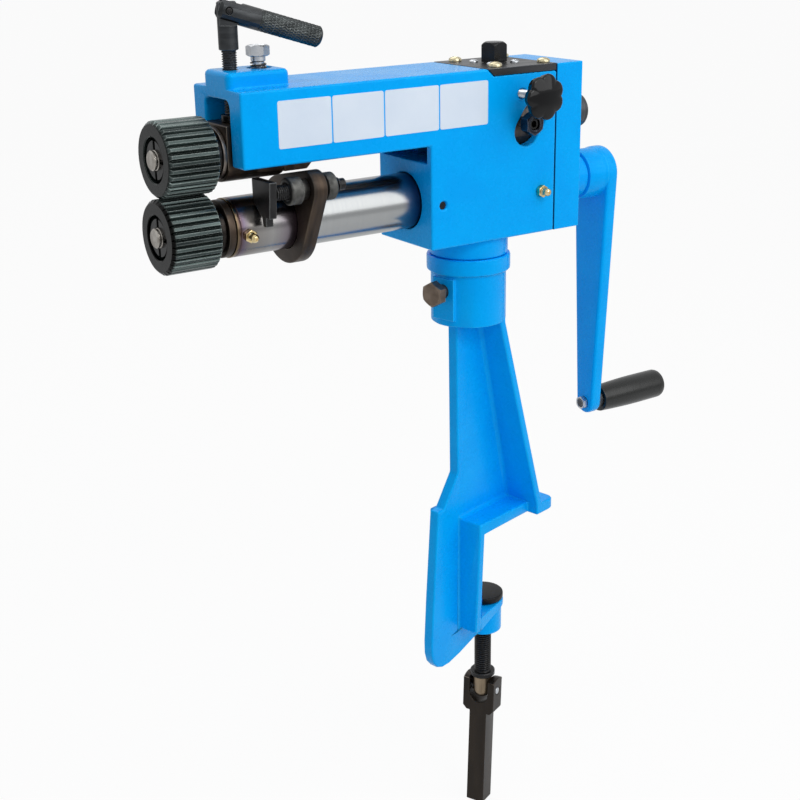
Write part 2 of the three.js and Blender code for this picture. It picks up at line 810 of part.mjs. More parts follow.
// One closed skin over a row of rings
function tubeOfRings(rings) {
  const sides = rings[0].length;
  const points = rings.flat();
  const index = [];
  for (let i = 0; i < rings.length - 1; i += 1) {
    for (let k = 0; k < sides; k += 1) {
      const a = i * sides + k;
      const b = i * sides + ((k + 1) % sides);
      index.push(a, b, a + sides, b, b + sides, a + sides);
    }
  }
  const last = (rings.length - 1) * sides;
  for (let k = 1; k < sides - 1; k += 1) {
    index.push(0, k + 1, k, last, last + k, last + k + 1);
  }
  const geometry = new THREE.BufferGeometry().setFromPoints(points);
  geometry.setIndex(index);
  return geometryOf(solidOf(geometry));
}

// Rolls, ring nuts and gears
const rollToothDepth = 1.9;
const rollTopShare = 0.46;
const rollRecessRadius = 14.8;
const rollRecessDepth = 8;
const ringNutRadius = 12.6;
const ringNutLength = 6.5;
const ringNutSlotWidth = 3;
const ringNutSlotDepth = 2.2;
const shaftEndRadius = 6.6;
const shaftEndProud = 2;
const lowerCollarLength = 6.2;
const upperCollarLength = 4.8;
const collarRadius = 16.5;
const lowerCollarRear = lowerBushFront + fit;
const lowerRollRear = lowerCollarRear + lowerCollarLength + fit;
const upperCollarRear = bearingFront + 2 * fit + upperBushFlange;
const upperRollRear = upperCollarRear + upperCollarLength + fit;
const gearFrontShare = 0.32345;
const gearFront = blockLength * gearFrontShare;
const upperGearWidth = 14;
const gearTipRadius = 27.2;
const gearRootRadius = 22;
const gearRootShare = 0.62;
const gearPitchShare = 0.42;
const gearTipShare = 0.2;

function roll(rear) {
  const tooth = [
    [0, rollRadius - rollToothDepth],
    [(1 - rollTopShare) / 2, rollRadius],
    [(1 + rollTopShare) / 2, rollRadius],
  ];
  const front = rear + rollWidth;
  return cut(
    prism('x', toothedOutline(rollTeeth, tooth, 0), -front, -rear),
    rod('x', -front - overrun, overrun - rear, boreRadius, mediumSides),
    rod('x', -front - overrun, -front + rollRecessDepth, rollRecessRadius, mediumSides),
  );
}

function ringNut(rear) {
  const seat = rear + rollWidth - rollRecessDepth + fit;
  const front = seat + ringNutLength;
  const slot = [-ringNutSlotWidth / 2, ringNutSlotWidth / 2];
  const across = [-ringNutRadius - overrun, ringNutRadius + overrun];
  const depth = [-front - overrun, -front + ringNutSlotDepth];
  return cut(
    ring('x', -front, -seat, ringNutRadius, shaftEndRadius + fit, mediumSides),
    box(depth, slot, across),
    box(depth, across, slot),
  );
}

function gear(width, turnShare) {
  const pitchRadius = shaftSpacing / 2;
  const flank = [[gearRootShare, gearRootRadius], [gearPitchShare, pitchRadius], [gearTipShare, gearTipRadius]];
  const tooth = [
    ...flank.map(([share, radius]) => [(1 - share) / 2, radius]),
    ...flank.reverse().map(([share, radius]) => [(1 + share) / 2, radius]),
  ];
  const start = gearFront + (gearWidth - width) / 2;
  return cut(
    prism('x', toothedOutline(gearTeeth, tooth, turnShare), start, start + width),
    rod('x', 0, blockLength, boreRadius, mediumSides),
  );
}

// Shafts: a threaded end for the ring nut, the seat of the roll, a collar and the long journal
const shaftStubShoulder = 1;
const crankPlate = 10.7;
const hubLength = 17.4;
const hubRadius = 19.2;
const hubFront = coverRear + coverBossLength + fit;
const crankRear = hubFront + hubLength + crankPlate;
const lowerShaftRear = crankRear - 1.3;
const crankBoltRadius = 5;
const crankBoltDepth = 20;

function shaftSteps(rollRear, collarRear, collarLength, rear) {
  const rollFront = rollRear + rollWidth;
  const shoulder = rollFront - rollRecessDepth - shaftStubShoulder;
  return [
    [-rollFront - shaftEndProud, -shoulder, shaftEndRadius],
    [-shoulder, -collarRear - collarLength, shaftRadius],
    [-collarRear - collarLength, -collarRear, collarRadius],
    [-collarRear, rear, shaftRadius],
  ];
}

function lowerShaft() {
  const steps = shaftSteps(lowerRollRear, lowerCollarRear, lowerCollarLength, lowerShaftRear);
  const boltHole = rod('x', lowerShaftRear - crankBoltDepth, lowerShaftRear + overrun, crankBoltRadius + fit, tinySides);
  return cut(turned('x', steps, mediumSides), boltHole);
}

function upperShaft() {
  return turned('x', shaftSteps(upperRollRear, upperCollarRear, upperCollarLength, upperShaftRear), mediumSides);
}

// Crank: hub and tapered arm in one casting, its bolt, and the grip on its spindle
const armTopRadius = 20;
const armTipRadius = 9.5;
const crankBoltFlats = 17;
const crankBoltHead = 6.5;
const crankWasherRadius = 13;
const crankWasher = 2;
const spindleRadius = 5;
const spindleThreadRadius = 3.3;
const spindleCollarRadius = 8;
const spindleCollar = 3.9;
const spindleNutFlats = 9.6;
const spindleNut = 4;
const gripInnerRadius = 11;
const gripOuterRadius = 11.8;
const gripEndRadius = 5;
const gripBoreDepth = 55;
const gripMiddleShare = 0.55;
const armFront = hubFront + hubLength;

function crankArm() {
  const outline = eyeOutline([0, 0, armTopRadius], [0, -crankLength, armTipRadius]);
  return cut(
    join(
      rod('x', hubFront, armFront + crankPlate / 2, hubRadius, largeSides),
      prism('x', outline, armFront, crankRear),
    ),
    rod('x', hubFront - overrun, crankRear + overrun, boreRadius, mediumSides),
    rod('x', armFront - overrun, crankRear + overrun, spindleRadius + fit, smallSides).translate(0, 0, -crankLength),
  );
}

function crankBolt() {
  const seat = crankRear + fit;
  return join(
    turned('x', [
      [lowerShaftRear - crankBoltDepth + fit, seat, crankBoltRadius],
      [seat, seat + crankWasher, crankWasherRadius],
    ], smallSides),
    hexagon('x', seat + crankWasher / 2, seat + crankWasher + crankBoltHead, crankBoltFlats),
  );
}

function gripSpindle() {
  const collarStart = crankRear + fit;
  const gripStart = collarStart + spindleCollar + fit;
  return turned('x', [
    [armFront - spindleNut - 2 * fit, armFront, spindleThreadRadius],
    [armFront, collarStart, spindleRadius],
    [collarStart, collarStart + spindleCollar, spindleCollarRadius],
    [collarStart + spindleCollar, gripStart + gripBoreDepth - fit, spindleRadius],
  ], smallSides);
}

function spindleNutPiece() {
  return cut(
    hexagon('x', armFront - fit - spindleNut, armFront - fit, spindleNutFlats),
    rod('x', hubFront, crankRear, spindleThreadRadius + fit, smallSides),
  );
}

function grip() {
  const start = crankRear + 2 * fit + spindleCollar;
  const end = start + gripLength;
  const middle = start + gripLength * gripMiddleShare;
  const steps = [
    [start, middle, gripInnerRadius, gripRadius],
    [middle, end - gripEndRadius, gripRadius, gripOuterRadius],
  ];
  for (let i = 0; i < curveSteps / 2; i += 1) {
    const [first, last] = [i, i + 1].map((k) => (k * quarterTurn) / (curveSteps / 2));
    steps.push([
      end - gripEndRadius * (1 - Math.sin(first)),
      end - gripEndRadius * (1 - Math.sin(last)),
      gripOuterRadius - gripEndRadius * (1 - Math.cos(first)),
      gripOuterRadius - gripEndRadius * (1 - Math.cos(last)),
    ]);
  }
  return cut(
    turned('x', steps, mediumSides),
    rod('x', start - overrun, start + gripBoreDepth, spindleRadius + fit, smallSides),
  );
}

// Gauge: bracket on the tube, fence plate on a threaded rod, and two knurled nuts
const bracketFront = 101;
const bracketThickness = 10.4;
const bracketRadius = 30.3;
const bracketEyeRadius = 12;
const gaugeRodY = 32.7;
const gaugeRodZ = 25.6;
const gaugeRodRadius = 5;
const gaugeRodTipRadius = 4;
const gaugeRodTip = 4.4;
const gaugeRodEnd = 71.6;
const gaugeScrewRadius = 3;
const gaugeScrewSink = 1.5;
const fenceThickness = 5.5;
const fenceFront = 130;
const fenceTop = 33.5;
const fenceNearTop = 37.4;
const fenceNearLow = 35;
const fenceShoulder = 9.4;
const fenceNibOut = 30.2;
const fenceNibIn = 26;
const fenceNibBottom = 3.3;
const fenceInnerLow = 24.8;
const fenceInnerMiddle = 13.2;
const fenceArcTop = 18.4;
const fenceInnerTop = 13;
const fenceTubeGap = 1.6;
const nutCollarRadius = 7;
const nutRadius = 9.3;
const frontNutLength = 9.1;
const frontNutCollar = 5;
const rearNutLength = 7.6;
const rearNutCollar = 2.3;
const bracketRear = bracketFront - bracketThickness;

function gaugeBracket() {
  const outline = eyeOutline([0, 0, bracketRadius], [-gaugeRodY, gaugeRodZ, bracketEyeRadius]);
  const through = [-bracketFront - overrun, -bracketRear + overrun];
  const middle = -bracketFront + bracketThickness / 2;
  return cut(
    prism('x', outline, -bracketFront, -bracketRear),
    rod('x', ...through, tubeRadius + fit, largeSides),
    rod('x', ...through, gaugeRodRadius + fit, smallSides).translate(0, -gaugeRodY, gaugeRodZ),
    rod('y', 0, bracketRadius + overrun, gaugeScrewRadius + fit, tinySides).translate(middle, 0, 0),
  );
}

function gaugeLockScrew() {
  return rod('y', tubeRadius + fit, bracketRadius - gaugeScrewSink, gaugeScrewRadius, tinySides)
    .translate(-bracketFront + bracketThickness / 2, 0, 0);
}

function fencePlate() {
  const outline = [
    [-fenceNearTop, fenceTop],
    [-fenceNearLow, fenceShoulder],
    [-fenceNibOut, fenceShoulder],
    [-fenceNibOut, fenceNibBottom],
    [-fenceNibIn, fenceNibBottom],
    [-fenceInnerLow, fenceShoulder],
    [-fenceInnerMiddle, fenceArcTop],
    [-fenceInnerTop, fenceTop],
  ];
  return cut(
    prism('x', outline, -fenceFront, -fenceFront + fenceThickness),
    rod('x', -fenceFront - overrun, 0, tubeRadius + fenceTubeGap, largeSides),
  );
}

function fenceRod() {
  return turned('x', [
    [-fenceFront + fenceThickness + fit, -gaugeRodEnd - gaugeRodTip, gaugeRodRadius],
    [-gaugeRodEnd - gaugeRodTip, -gaugeRodEnd, gaugeRodTipRadius],
  ], smallSides);
}

function frontGaugeNut() {
  const seat = -bracketFront - fit;
  return cut(
    turned('x', [
      [seat - frontNutCollar - frontNutLength, seat - frontNutCollar, nutRadius],
      [seat - frontNutCollar, seat, nutCollarRadius],
    ], mediumSides),
    rod('x', -fenceFront, 0, gaugeRodRadius + fit, smallSides),
  );
}

function rearGaugeNut() {
  const seat = -bracketRear + fit;
  return cut(
    turned('x', [
      [seat, seat + rearNutCollar, nutCollarRadius],
      [seat + rearNutCollar, seat + rearNutCollar + rearNutLength, nutRadius],
    ], mediumSides),
    rod('x', -fenceFront, 0, gaugeRodRadius + fit, smallSides),
  );
}

// Press screw with its foot, and the folding handle on a cross pin
const footRadius = 7.5;
const footHeight = 4.5;
const footPocketRadius = 3;
const footPocketDepth = 2.8;
const pressShankRadius = 6.4;
const pressShankRise = 12.4;
const pressShankBottom = bossTop + pressShankRise;
const pressPinRise = 36.75;
const pressPinHeight = bossTop + pressPinRise;
const tongueAbovePin = 5.65;
const tongueBelowPin = 9.15;
const tongueShoulder = pressPinHeight - tongueBelowPin;
const tongueTop = pressPinHeight + tongueAbovePin;
const tongueHalfThickness = 2.7;
const pressPinRadius = 2;
const handleRadius = 7;
const handleTail = 6.3;
const handleLength = 65;
const handleChamfer = 2;
const forkDepth = 9;
const pressTurn = 12;
const handleDroop = 17.5;

function pressFoot() {
  const foot = bearingTop + fit;
  return cut(
    rod('z', foot, foot + footHeight, footRadius, mediumSides),
    rod('z', foot + footHeight - footPocketDepth, foot + footHeight + overrun, footPocketRadius + fit, tinySides),
  );
}

function pressScrew() {
  const foot = bearingTop + fit;
  const bar = turned('z', [
    [foot + footHeight - footPocketDepth + fit, foot + footHeight + fit, footPocketRadius],
    [foot + footHeight + fit, pressShankBottom, pressThreadRadius],
    [pressShankBottom, tongueTop, pressShankRadius],
  ], smallSides);
  const aside = [tongueHalfThickness, pressShankRadius + overrun];
  const across = [-pressShankRadius - overrun, pressShankRadius + overrun];
  const above = [tongueShoulder, tongueTop + overrun];
  return cut(
    bar,
    box(across, aside, above),
    box(across, aside.map((y) => -y), above),
    rod('y', ...across, pressPinRadius + fit, tinySides).translate(0, 0, pressPinHeight),
  );
}

function pressHandle() {
  const bar = turned('x', [
    [-handleTail, handleChamfer - handleTail, handleRadius - handleChamfer, handleRadius],
    [handleChamfer - handleTail, handleLength - handleChamfer, handleRadius],
    [handleLength - handleChamfer, handleLength, handleRadius, handleRadius - handleChamfer],
  ], smallSides);
  const slotHalf = tongueHalfThickness + fit;
  const across = [-handleRadius - overrun, handleRadius + overrun];
  return cut(
    bar,
    box([-handleTail - overrun, forkDepth], [-slotHalf, slotHalf], across),
    rod('y', ...across, pressPinRadius + fit, tinySides),
  );
}

function pressHandlePin() {
  return rod('y', -handleRadius, handleRadius, pressPinRadius, tinySides);
}

// Stand bracket: socket, web, slanted flange, bench shelf, lower flange and clamp boss
const rimRadius = 31.6;
const rimHeight = 12.2;
const socketHeight = 51.9;
const socketFloor = 6;
const lockPadReach = 29.5;
const lockPadHalfWidth = 10;
const lockPadTop = 15;
const lockPadBottom = 47;
const lockBoltDrop = 25;
const lockBoltRadius = 5;
const webHalfThickness = 4.6;
const webTopReach = 19;
const webWaistReach = 18;
const webWaistHeight = 48.1;
const heelInnerReach = 35.2;
const heelReach = 41.5;
const heelHeight = 22.7;
const spineMiddleReach = 48;
const spineMiddleDepth = 53.9;
const chinReach = 53;
const chinDepth = 126.5;
const chinEase = 36;
const keelNose = 8;
const flangeTopX = 12.9;
const flangeFootX = 50.3;
const flangeThickness = 6.2;
const flangeTopHalfWidth = 26;
const flangeFootHalfWidth = 36.5;
const shelfRear = 17;
const shelfCornerRadius = 8;
const backPlate = 6.5;
const backDepth = 88.9;
const backFootHalfWidth = 22.5;
const clampBossRadius = 15.3;
const clampBossHeight = 28;
const armEndRadius = 16.8;
const armEndThickness = 4;
const padRadius = 16.6;
const padThickness = 5;
const padNeck = 0.6;
const padNeckRadius = 9.5;
const clampBossTop = jawDepth + padThickness + padNeck + fit;
const clampBossBottom = clampBossTop + clampBossHeight;
const socketBottom = socketTop - socketHeight;

function standBracket() {
  const backX = -shelfRear;
  const slantRun = flangeFootX - flangeTopX;
  const slantRise = socketBottom - shelfThickness;
  const slantX = (z) => flangeFootX - (slantRun * (z - shelfThickness)) / slantRise;
  const webOutline = [
    [-webTopReach, socketBottom + overrun],
    [-webWaistReach, webWaistHeight],
    [-heelInnerReach, heelHeight],
    [-heelReach, heelHeight],
    [-spineMiddleReach, -spineMiddleDepth],
    [-chinReach, -chinDepth, chinEase],
    [keelNose, -clampBossBottom],
    [keelNose, -clampBossTop],
    [backX + overrun, -clampBossTop],
    [backX + overrun, 0],
    [flangeFootX - flangeThickness, shelfThickness / 2],
    [slantX(shelfThickness) - flangeThickness / 2, shelfThickness],
    [slantX(socketBottom) - flangeThickness / 2, socketBottom + overrun],
  ];
  const slant = [
    [flangeFootX, 0],
    [flangeFootX, shelfThickness],
    [flangeTopX, socketBottom],
    [flangeTopX, socketBottom + overrun],
    [flangeTopX - flangeThickness, socketBottom + overrun],
    [flangeTopX - flangeThickness, socketBottom],
    [flangeFootX - flangeThickness, shelfThickness],
    [flangeFootX - flangeThickness, 0],
  ];
  const slantFace = [
    [-flangeFootHalfWidth, 0],
    [flangeFootHalfWidth, 0],
    [flangeFootHalfWidth, shelfThickness],
    [flangeTopHalfWidth, socketBottom + overrun],
    [-flangeTopHalfWidth, socketBottom + overrun],
    [-flangeFootHalfWidth, shelfThickness],
  ];
  const toeX = flangeFootX - flangeThickness;
  const shelf = roundedOutline([
    [backX, -shelfHalfWidth],
    [toeX, -shelfHalfWidth],
    [toeX, -flangeFootHalfWidth],
    [shelfReach, -flangeFootHalfWidth, shelfCornerRadius],
    [shelfReach, flangeFootHalfWidth, shelfCornerRadius],
    [toeX, flangeFootHalfWidth],
    [toeX, shelfHalfWidth],
    [backX, shelfHalfWidth],
  ]);
  const back = [
    [-shelfHalfWidth, shelfThickness],
    [-shelfHalfWidth, 0],
    [-backFootHalfWidth, -backDepth],
    [backFootHalfWidth, -backDepth],
    [shelfHalfWidth, 0],
    [shelfHalfWidth, shelfThickness],
  ];
  const armEnd = clampX + armEndRadius;
  const armFace = [
    [backX, -backDepth],
    [backX + backPlate, -backDepth],
    [armEnd, -clampBossTop - armEndThickness],
    [armEnd, -clampBossTop],
    [backX, -clampBossTop],
  ];
  const armPlan = join(
    prism('z', [
      [backX, -backFootHalfWidth],
      [backX + backPlate, -backFootHalfWidth],
      [clampX, -armEndRadius],
      [clampX, armEndRadius],
      [backX + backPlate, backFootHalfWidth],
      [backX, backFootHalfWidth],
    ], -backDepth, -clampBossTop),
    rod('z', -backDepth, -clampBossTop, armEndRadius, largeSides).translate(clampX, 0, 0),
  );
  const body = join(
    rod('z', socketTop - rimHeight, socketTop, rimRadius, largeSides),
    rod('z', socketBottom, socketTop - rimHeight, socketRadius, largeSides),
    box([-lockPadReach, 0], [-lockPadHalfWidth, lockPadHalfWidth], [socketTop - lockPadBottom, socketTop - lockPadTop]),
    prism('y', roundedOutline(webOutline), -webHalfThickness, webHalfThickness),
    common(
      prism('y', slant, -flangeFootHalfWidth, flangeFootHalfWidth),
      prism('x', slantFace, 0, shelfReach),
    ),
    prism('z', shelf, 0, shelfThickness),
    prism('x', back, backX, backX + backPlate),
    common(armPlan, prism('y', armFace, -backFootHalfWidth, backFootHalfWidth)),
    rod('z', -clampBossBottom, -clampBossTop, clampBossRadius, largeSides).translate(clampX, 0, 0),
  );
  return cut(
    body,
    rod('z', socketBottom + socketFloor, socketTop + overrun, spigotRadius + fit, largeSides),
    rod('x', -socketRadius - overrun, 0, lockBoltRadius + fit, smallSides)
      .translate(0, 0, socketTop - lockBoltDrop),
    rod('z', -clampBossBottom - overrun, -clampBossTop + overrun, clampScrewRadius + fit, mediumSides)
      .translate(clampX, 0, 0),
  );
}

// Lock bolt of the swivel
const lockHeadStart = 36.5;
const lockHeadHeight = 6.5;
const lockHeadFlats = 17;

function headLockBolt() {
  return join(
    rod('x', -lockHeadStart - lockHeadHeight / 2, -spigotRadius - fit, lockBoltRadius, smallSides),
    hexagon('x', -lockHeadStart - lockHeadHeight, -lockHeadStart, lockHeadFlats),
  );
}

// Clamp: swivel pad, screw with its tongue, and the forked handle bar on a cross pin
const ballRadius = 4;
const ballDepth = 3.6;
const threadExposed = 41;
const clampCollarRadius = 10.4;
const clampCollar = 5;
const clampPinDrop = 12.8;
const clampPinRadius = 3;
const clampTongueHalf = 8.2;
const clampForkHalfWidth = 14.5;
const clampBarHalf = 8;
const clampForkFloor = 11.6;
const clampForkBottom = 21;
const clampForkShoulder = 3.4;
const clampForkTopRadius = 12.2;
const clampBarBottom = 108;
const clampTurn = 11.87;
const clampLean = 3.5;
const collarTop = clampBossBottom + threadExposed;
const collarBottom = collarTop + clampCollar;
const clampPinZ = collarBottom + clampPinDrop;

function clampPad() {
  const neckEnd = -jawDepth - padThickness - padNeck;
  return cut(
    turned('z', [
      [neckEnd, neckEnd + padNeck, padNeckRadius],
      [neckEnd + padNeck, -jawDepth, padRadius],
    ], largeSides),
    rod('z', neckEnd - overrun, neckEnd + ballDepth, ballRadius + fit, smallSides),
  );
}

function clampScrew() {
  const neckEnd = -jawDepth - padThickness - padNeck;
  const bar = turned('z', [
    [-collarBottom, -collarTop, clampCollarRadius],
    [-collarTop, neckEnd - fit, clampScrewRadius],
    [neckEnd - fit, neckEnd + ballDepth - fit, ballRadius],
  ], mediumSides);
  const half = clampTongueHalf;
  const tongue = join(
    rod('z', -clampPinZ, -collarBottom + fit, half, mediumSides),
    ball(half, mediumSides).translate(0, 0, -clampPinZ),
  );
  const pinHole = rod('y', -half - overrun, half + overrun, clampPinRadius + fit, tinySides)
    .translate(0, 0, -clampPinZ);
  return cut(join(bar, tongue), pinHole);
}

// The handle hangs from its pin, so its heights are taken from the pin
function clampHandle() {
  const cheekTop = Math.sqrt(clampForkTopRadius ** 2 - clampBarHalf ** 2);
  const sides = [-clampBarHalf, clampBarHalf];
  const fork = [-clampForkHalfWidth, clampForkHalfWidth];
  const slot = clampTongueHalf + fit;
  const slotSpringing = slot - clampForkFloor;
  const across = [-clampBarHalf - overrun, clampBarHalf + overrun];
  const shoulder = clampForkHalfWidth - clampForkShoulder;
  const face = [
    [clampForkHalfWidth, cheekTop],
    [clampForkHalfWidth, clampForkShoulder - clampForkBottom],
    [shoulder, -clampForkBottom],
    [-shoulder, -clampForkBottom],
    [-clampForkHalfWidth, clampForkShoulder - clampForkBottom],
    [-clampForkHalfWidth, cheekTop],
  ];
  const dome = rod('y', ...fork, clampForkTopRadius, mediumSides);
  return cut(
    join(
      prism('x', face, ...sides),
      common(box(sides, fork, [0, clampForkTopRadius]), dome),
      box(sides, sides, [-clampBarBottom, -clampForkBottom + overrun]),
    ),
    box(across, [-slot, slot], [slotSpringing, clampForkTopRadius + overrun]),
    rod('x', ...across, slot, mediumSides).translate(0, 0, slotSpringing),
    rod('y', -clampForkHalfWidth - overrun, clampForkHalfWidth + overrun, clampPinRadius + fit, tinySides),
  );
}

function clampHandlePin() {
  return rod('y', -clampForkHalfWidth, clampForkHalfWidth, clampPinRadius, tinySides);
}

// Finishes, one material to each mesh
const finish = (color, roughness, metalness) => () => new THREE.MeshStandardMaterial({ color, roughness, metalness });
const bluePaint = finish(0x00a0ec, 0.4, 0);
const blackOxide = finish(0x24282a, 0.5, 0.6);
const groundSteel = finish(0xb4b6b8, 0.25, 1);
const zincPlate = finish(0xb9bcc0, 0.35, 1);
const yellowZinc = finish(0xc9b57a, 0.35, 1);
const brass = finish(0xc79a3e, 0.3, 1);
const bronze = finish(0x9a6b3c, 0.45, 0.9);
const brownOxide = finish(0x4a3e33, 0.5, 0.6);
const knurledSteel = finish(0x5a5d60, 0.5, 0.8);
const darkPlate = finish(0x3c4046, 0.45, 0.6);
const greySteel = finish(0x6c7278, 0.45, 0.7);
const glossBlack = finish(0x101114, 0.15, 0);
const satinBlack = finish(0x1c1d1f, 0.55, 0);

const assembly = new THREE.Group();
const stand = new THREE.Group();
const head = new THREE.Group();
stand.rotation.z = standTurn * radiansPerDegree;
head.position.set(-postSetback, 0, shaftHeight);
assembly.add(stand, head);

function addPiece(parent, name, geometry, material, x = 0, y = 0, z = 0) {
  const mesh = new THREE.Mesh(geometry, material());
  mesh.name = name;
  mesh.position.set(x, y, z);
  parent.add(mesh);
  return mesh;
}

// Stand and clamp
const clamp = new THREE.Group();
const clampFold = new THREE.Group();
clamp.position.set(clampX, 0, 0);
clamp.rotation.z = clampTurn * radiansPerDegree;
clampFold.position.set(0, 0, -clampPinZ);
clampFold.rotation.y = clampLean * radiansPerDegree;
clamp.add(clampFold);
stand.add(clamp);
addPiece(stand, 'stand_bracket', standBracket(), bluePaint);
addPiece(stand, 'head_lock_bolt', headLockBolt(), zincPlate, 0, 0, socketTop - lockBoltDrop);
addPiece(clamp, 'clamp_pad', clampPad(), blackOxide);
addPiece(clamp, 'clamp_screw', clampScrew(), blackOxide);
addPiece(clampFold, 'clamp_handle', clampHandle(), blackOxide);
addPiece(clampFold, 'clamp_handle_pin', clampHandlePin(), zincPlate);

// Head, its covers and fixed pieces
addPiece(head, 'head_casting', headCasting(), bluePaint);
addPiece(head, 'rear_cover', rearCover(), bluePaint);
coverScrewPlaces.forEach(([y, z], i) => addPiece(head, `cover_screw_${i + 1}`, coverScrew(), zincPlate, 0, y, z));
addPiece(head, 'lower_tube', lowerTube(), groundSteel);
addPiece(head, 'tube_front_bush', tubeFrontBush(), brownOxide);
addPiece(head, 'lower_bearing_carrier', lowerBearingCarrier(), greySteel);
const tubeNipple = addPiece(head, 'tube_nipple', greaseNipple(), brass);
const nippleSeat = -tubeRadius - fit;
tubeNipple.rotation.x = nippleAngle * radiansPerDegree;
tubeNipple.position.set(-nippleX, nippleSeat * Math.cos(tubeNipple.rotation.x), nippleSeat * Math.sin(tubeNipple.rotation.x));
addPiece(head, 'side_nipple', greaseNipple(), brass, sideNippleX, -headHalfWidth - fit, 0);
addPiece(head, 'tube_set_screw', tubeSetScrew(), blackOxide, setScrewX, 0, 0);
addPiece(head, 'top_plate', topPlate(), darkPlate);
plateScrewPlaces.forEach(([x, y], i) => addPiece(head, `plate_screw_${i + 1}`, plateScrew(), yellowZinc, x, y, 0));
addPiece(head, 'rear_cap', rearCap(), greySteel, 0, 0, shaftSpacing);
addPiece(head, 'lift_spring', liftSpring(), blackOxide, -liftX, 0, 0);

// Adjuster, sleeve and lock knob
addPiece(head, 'adjuster_post', adjusterPost(), blackOxide, adjusterX, 0, 0);
addPiece(head, 'lock_knob', lockKnob(), glossBlack, adjusterX, 0, knobHeight);
addPiece(head, 'lock_knob_stud', lockKnobStud(), zincPlate, adjusterX, 0, knobHeight);
addPiece(head, 'bearing_race', bearingRace(), greySteel, 0, 0, shaftSpacing);
const sleeve = addPiece(head, 'adjusting_sleeve', adjustingSleeve(), greySteel, 0, 0, shaftSpacing);
addPiece(head, 'sleeve_stud', sleeveStud(), blackOxide, sleeveStudX, 0, sleeve.position.z + sleeveStudRise);
addPiece(head, 'sleeve_nut', sleeveNut(), blackOxide, sleeveStudX, 0, sleeve.position.z + sleeveStudRise);

// Upper shaft train
addPiece(head, 'upper_bearing_block', upperBearingBlock(), brownOxide);
addPiece(head, 'upper_front_bush', upperFrontBush(), bronze, 0, 0, shaftSpacing);
addPiece(head, 'pivot_bush', pivotBush(), bronze, 0, 0, shaftSpacing);
addPiece(head, 'lift_bolt', liftBolt(), zincPlate, -liftX, 0, 0);
addPiece(head, 'upper_shaft', upperShaft(), blackOxide, 0, 0, shaftSpacing);
addPiece(head, 'upper_roll', roll(upperRollRear), blackOxide, 0, 0, shaftSpacing);
addPiece(head, 'upper_roll_nut', ringNut(upperRollRear), blackOxide, 0, 0, shaftSpacing);
addPiece(head, 'upper_gear', gear(upperGearWidth, 0), greySteel, 0, 0, shaftSpacing);
addPiece(head, 'upper_end_nut', upperEndNut(), blackOxide, 0, 0, shaftSpacing);

// Lower drive and crank
addPiece(head, 'lower_shaft', lowerShaft(), blackOxide);
addPiece(head, 'lower_roll', roll(lowerRollRear), blackOxide);
addPiece(head, 'lower_roll_nut', ringNut(lowerRollRear), blackOxide);
addPiece(head, 'lower_gear', gear(gearWidth, 1 / 2), greySteel);
addPiece(head, 'crank_arm', crankArm(), bluePaint);
addPiece(head, 'crank_bolt', crankBolt(), zincPlate);
addPiece(head, 'grip_spindle', gripSpindle(), zincPlate, 0, 0, -crankLength);
addPiece(head, 'spindle_nut', spindleNutPiece(), zincPlate, 0, 0, -crankLength);
addPiece(head, 'grip', grip(), satinBlack, 0, 0, -crankLength);

// Gauge
addPiece(head, 'gauge_bracket', gaugeBracket(), brownOxide);
addPiece(head, 'gauge_lock_screw', gaugeLockScrew(), blackOxide);
addPiece(head, 'fence_plate', fencePlate(), blackOxide);
addPiece(head, 'fence_rod', fenceRod(), blackOxide, 0, -gaugeRodY, gaugeRodZ);
addPiece(head, 'front_gauge_nut', frontGaugeNut(), knurledSteel, 0, -gaugeRodY, gaugeRodZ);
addPiece(head, 'rear_gauge_nut', rearGaugeNut(), knurledSteel, 0, -gaugeRodY, gaugeRodZ);

// Press screw and its handle
const press = new THREE.Group();
const pressFold = new THREE.Group();
press.position.set(-pressX, 0, 0);
press.rotation.z = -pressTurn * radiansPerDegree;
pressFold.position.set(0, 0, pressPinHeight);
pressFold.rotation.y = handleDroop * radiansPerDegree;
press.add(pressFold);
head.add(press);
addPiece(press, 'press_foot', pressFoot(), blackOxide);
addPiece(press, 'press_screw', pressScrew(), blackOxide);
addPiece(pressFold, 'press_handle', pressHandle(), blackOxide);
addPiece(pressFold, 'press_handle_pin', pressHandlePin(), blackOxide);

export default assembly;
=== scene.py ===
import bpy
import bmesh
import numpy as np
from math import cos, pi, radians, sin
from mathutils import Matrix, Vector


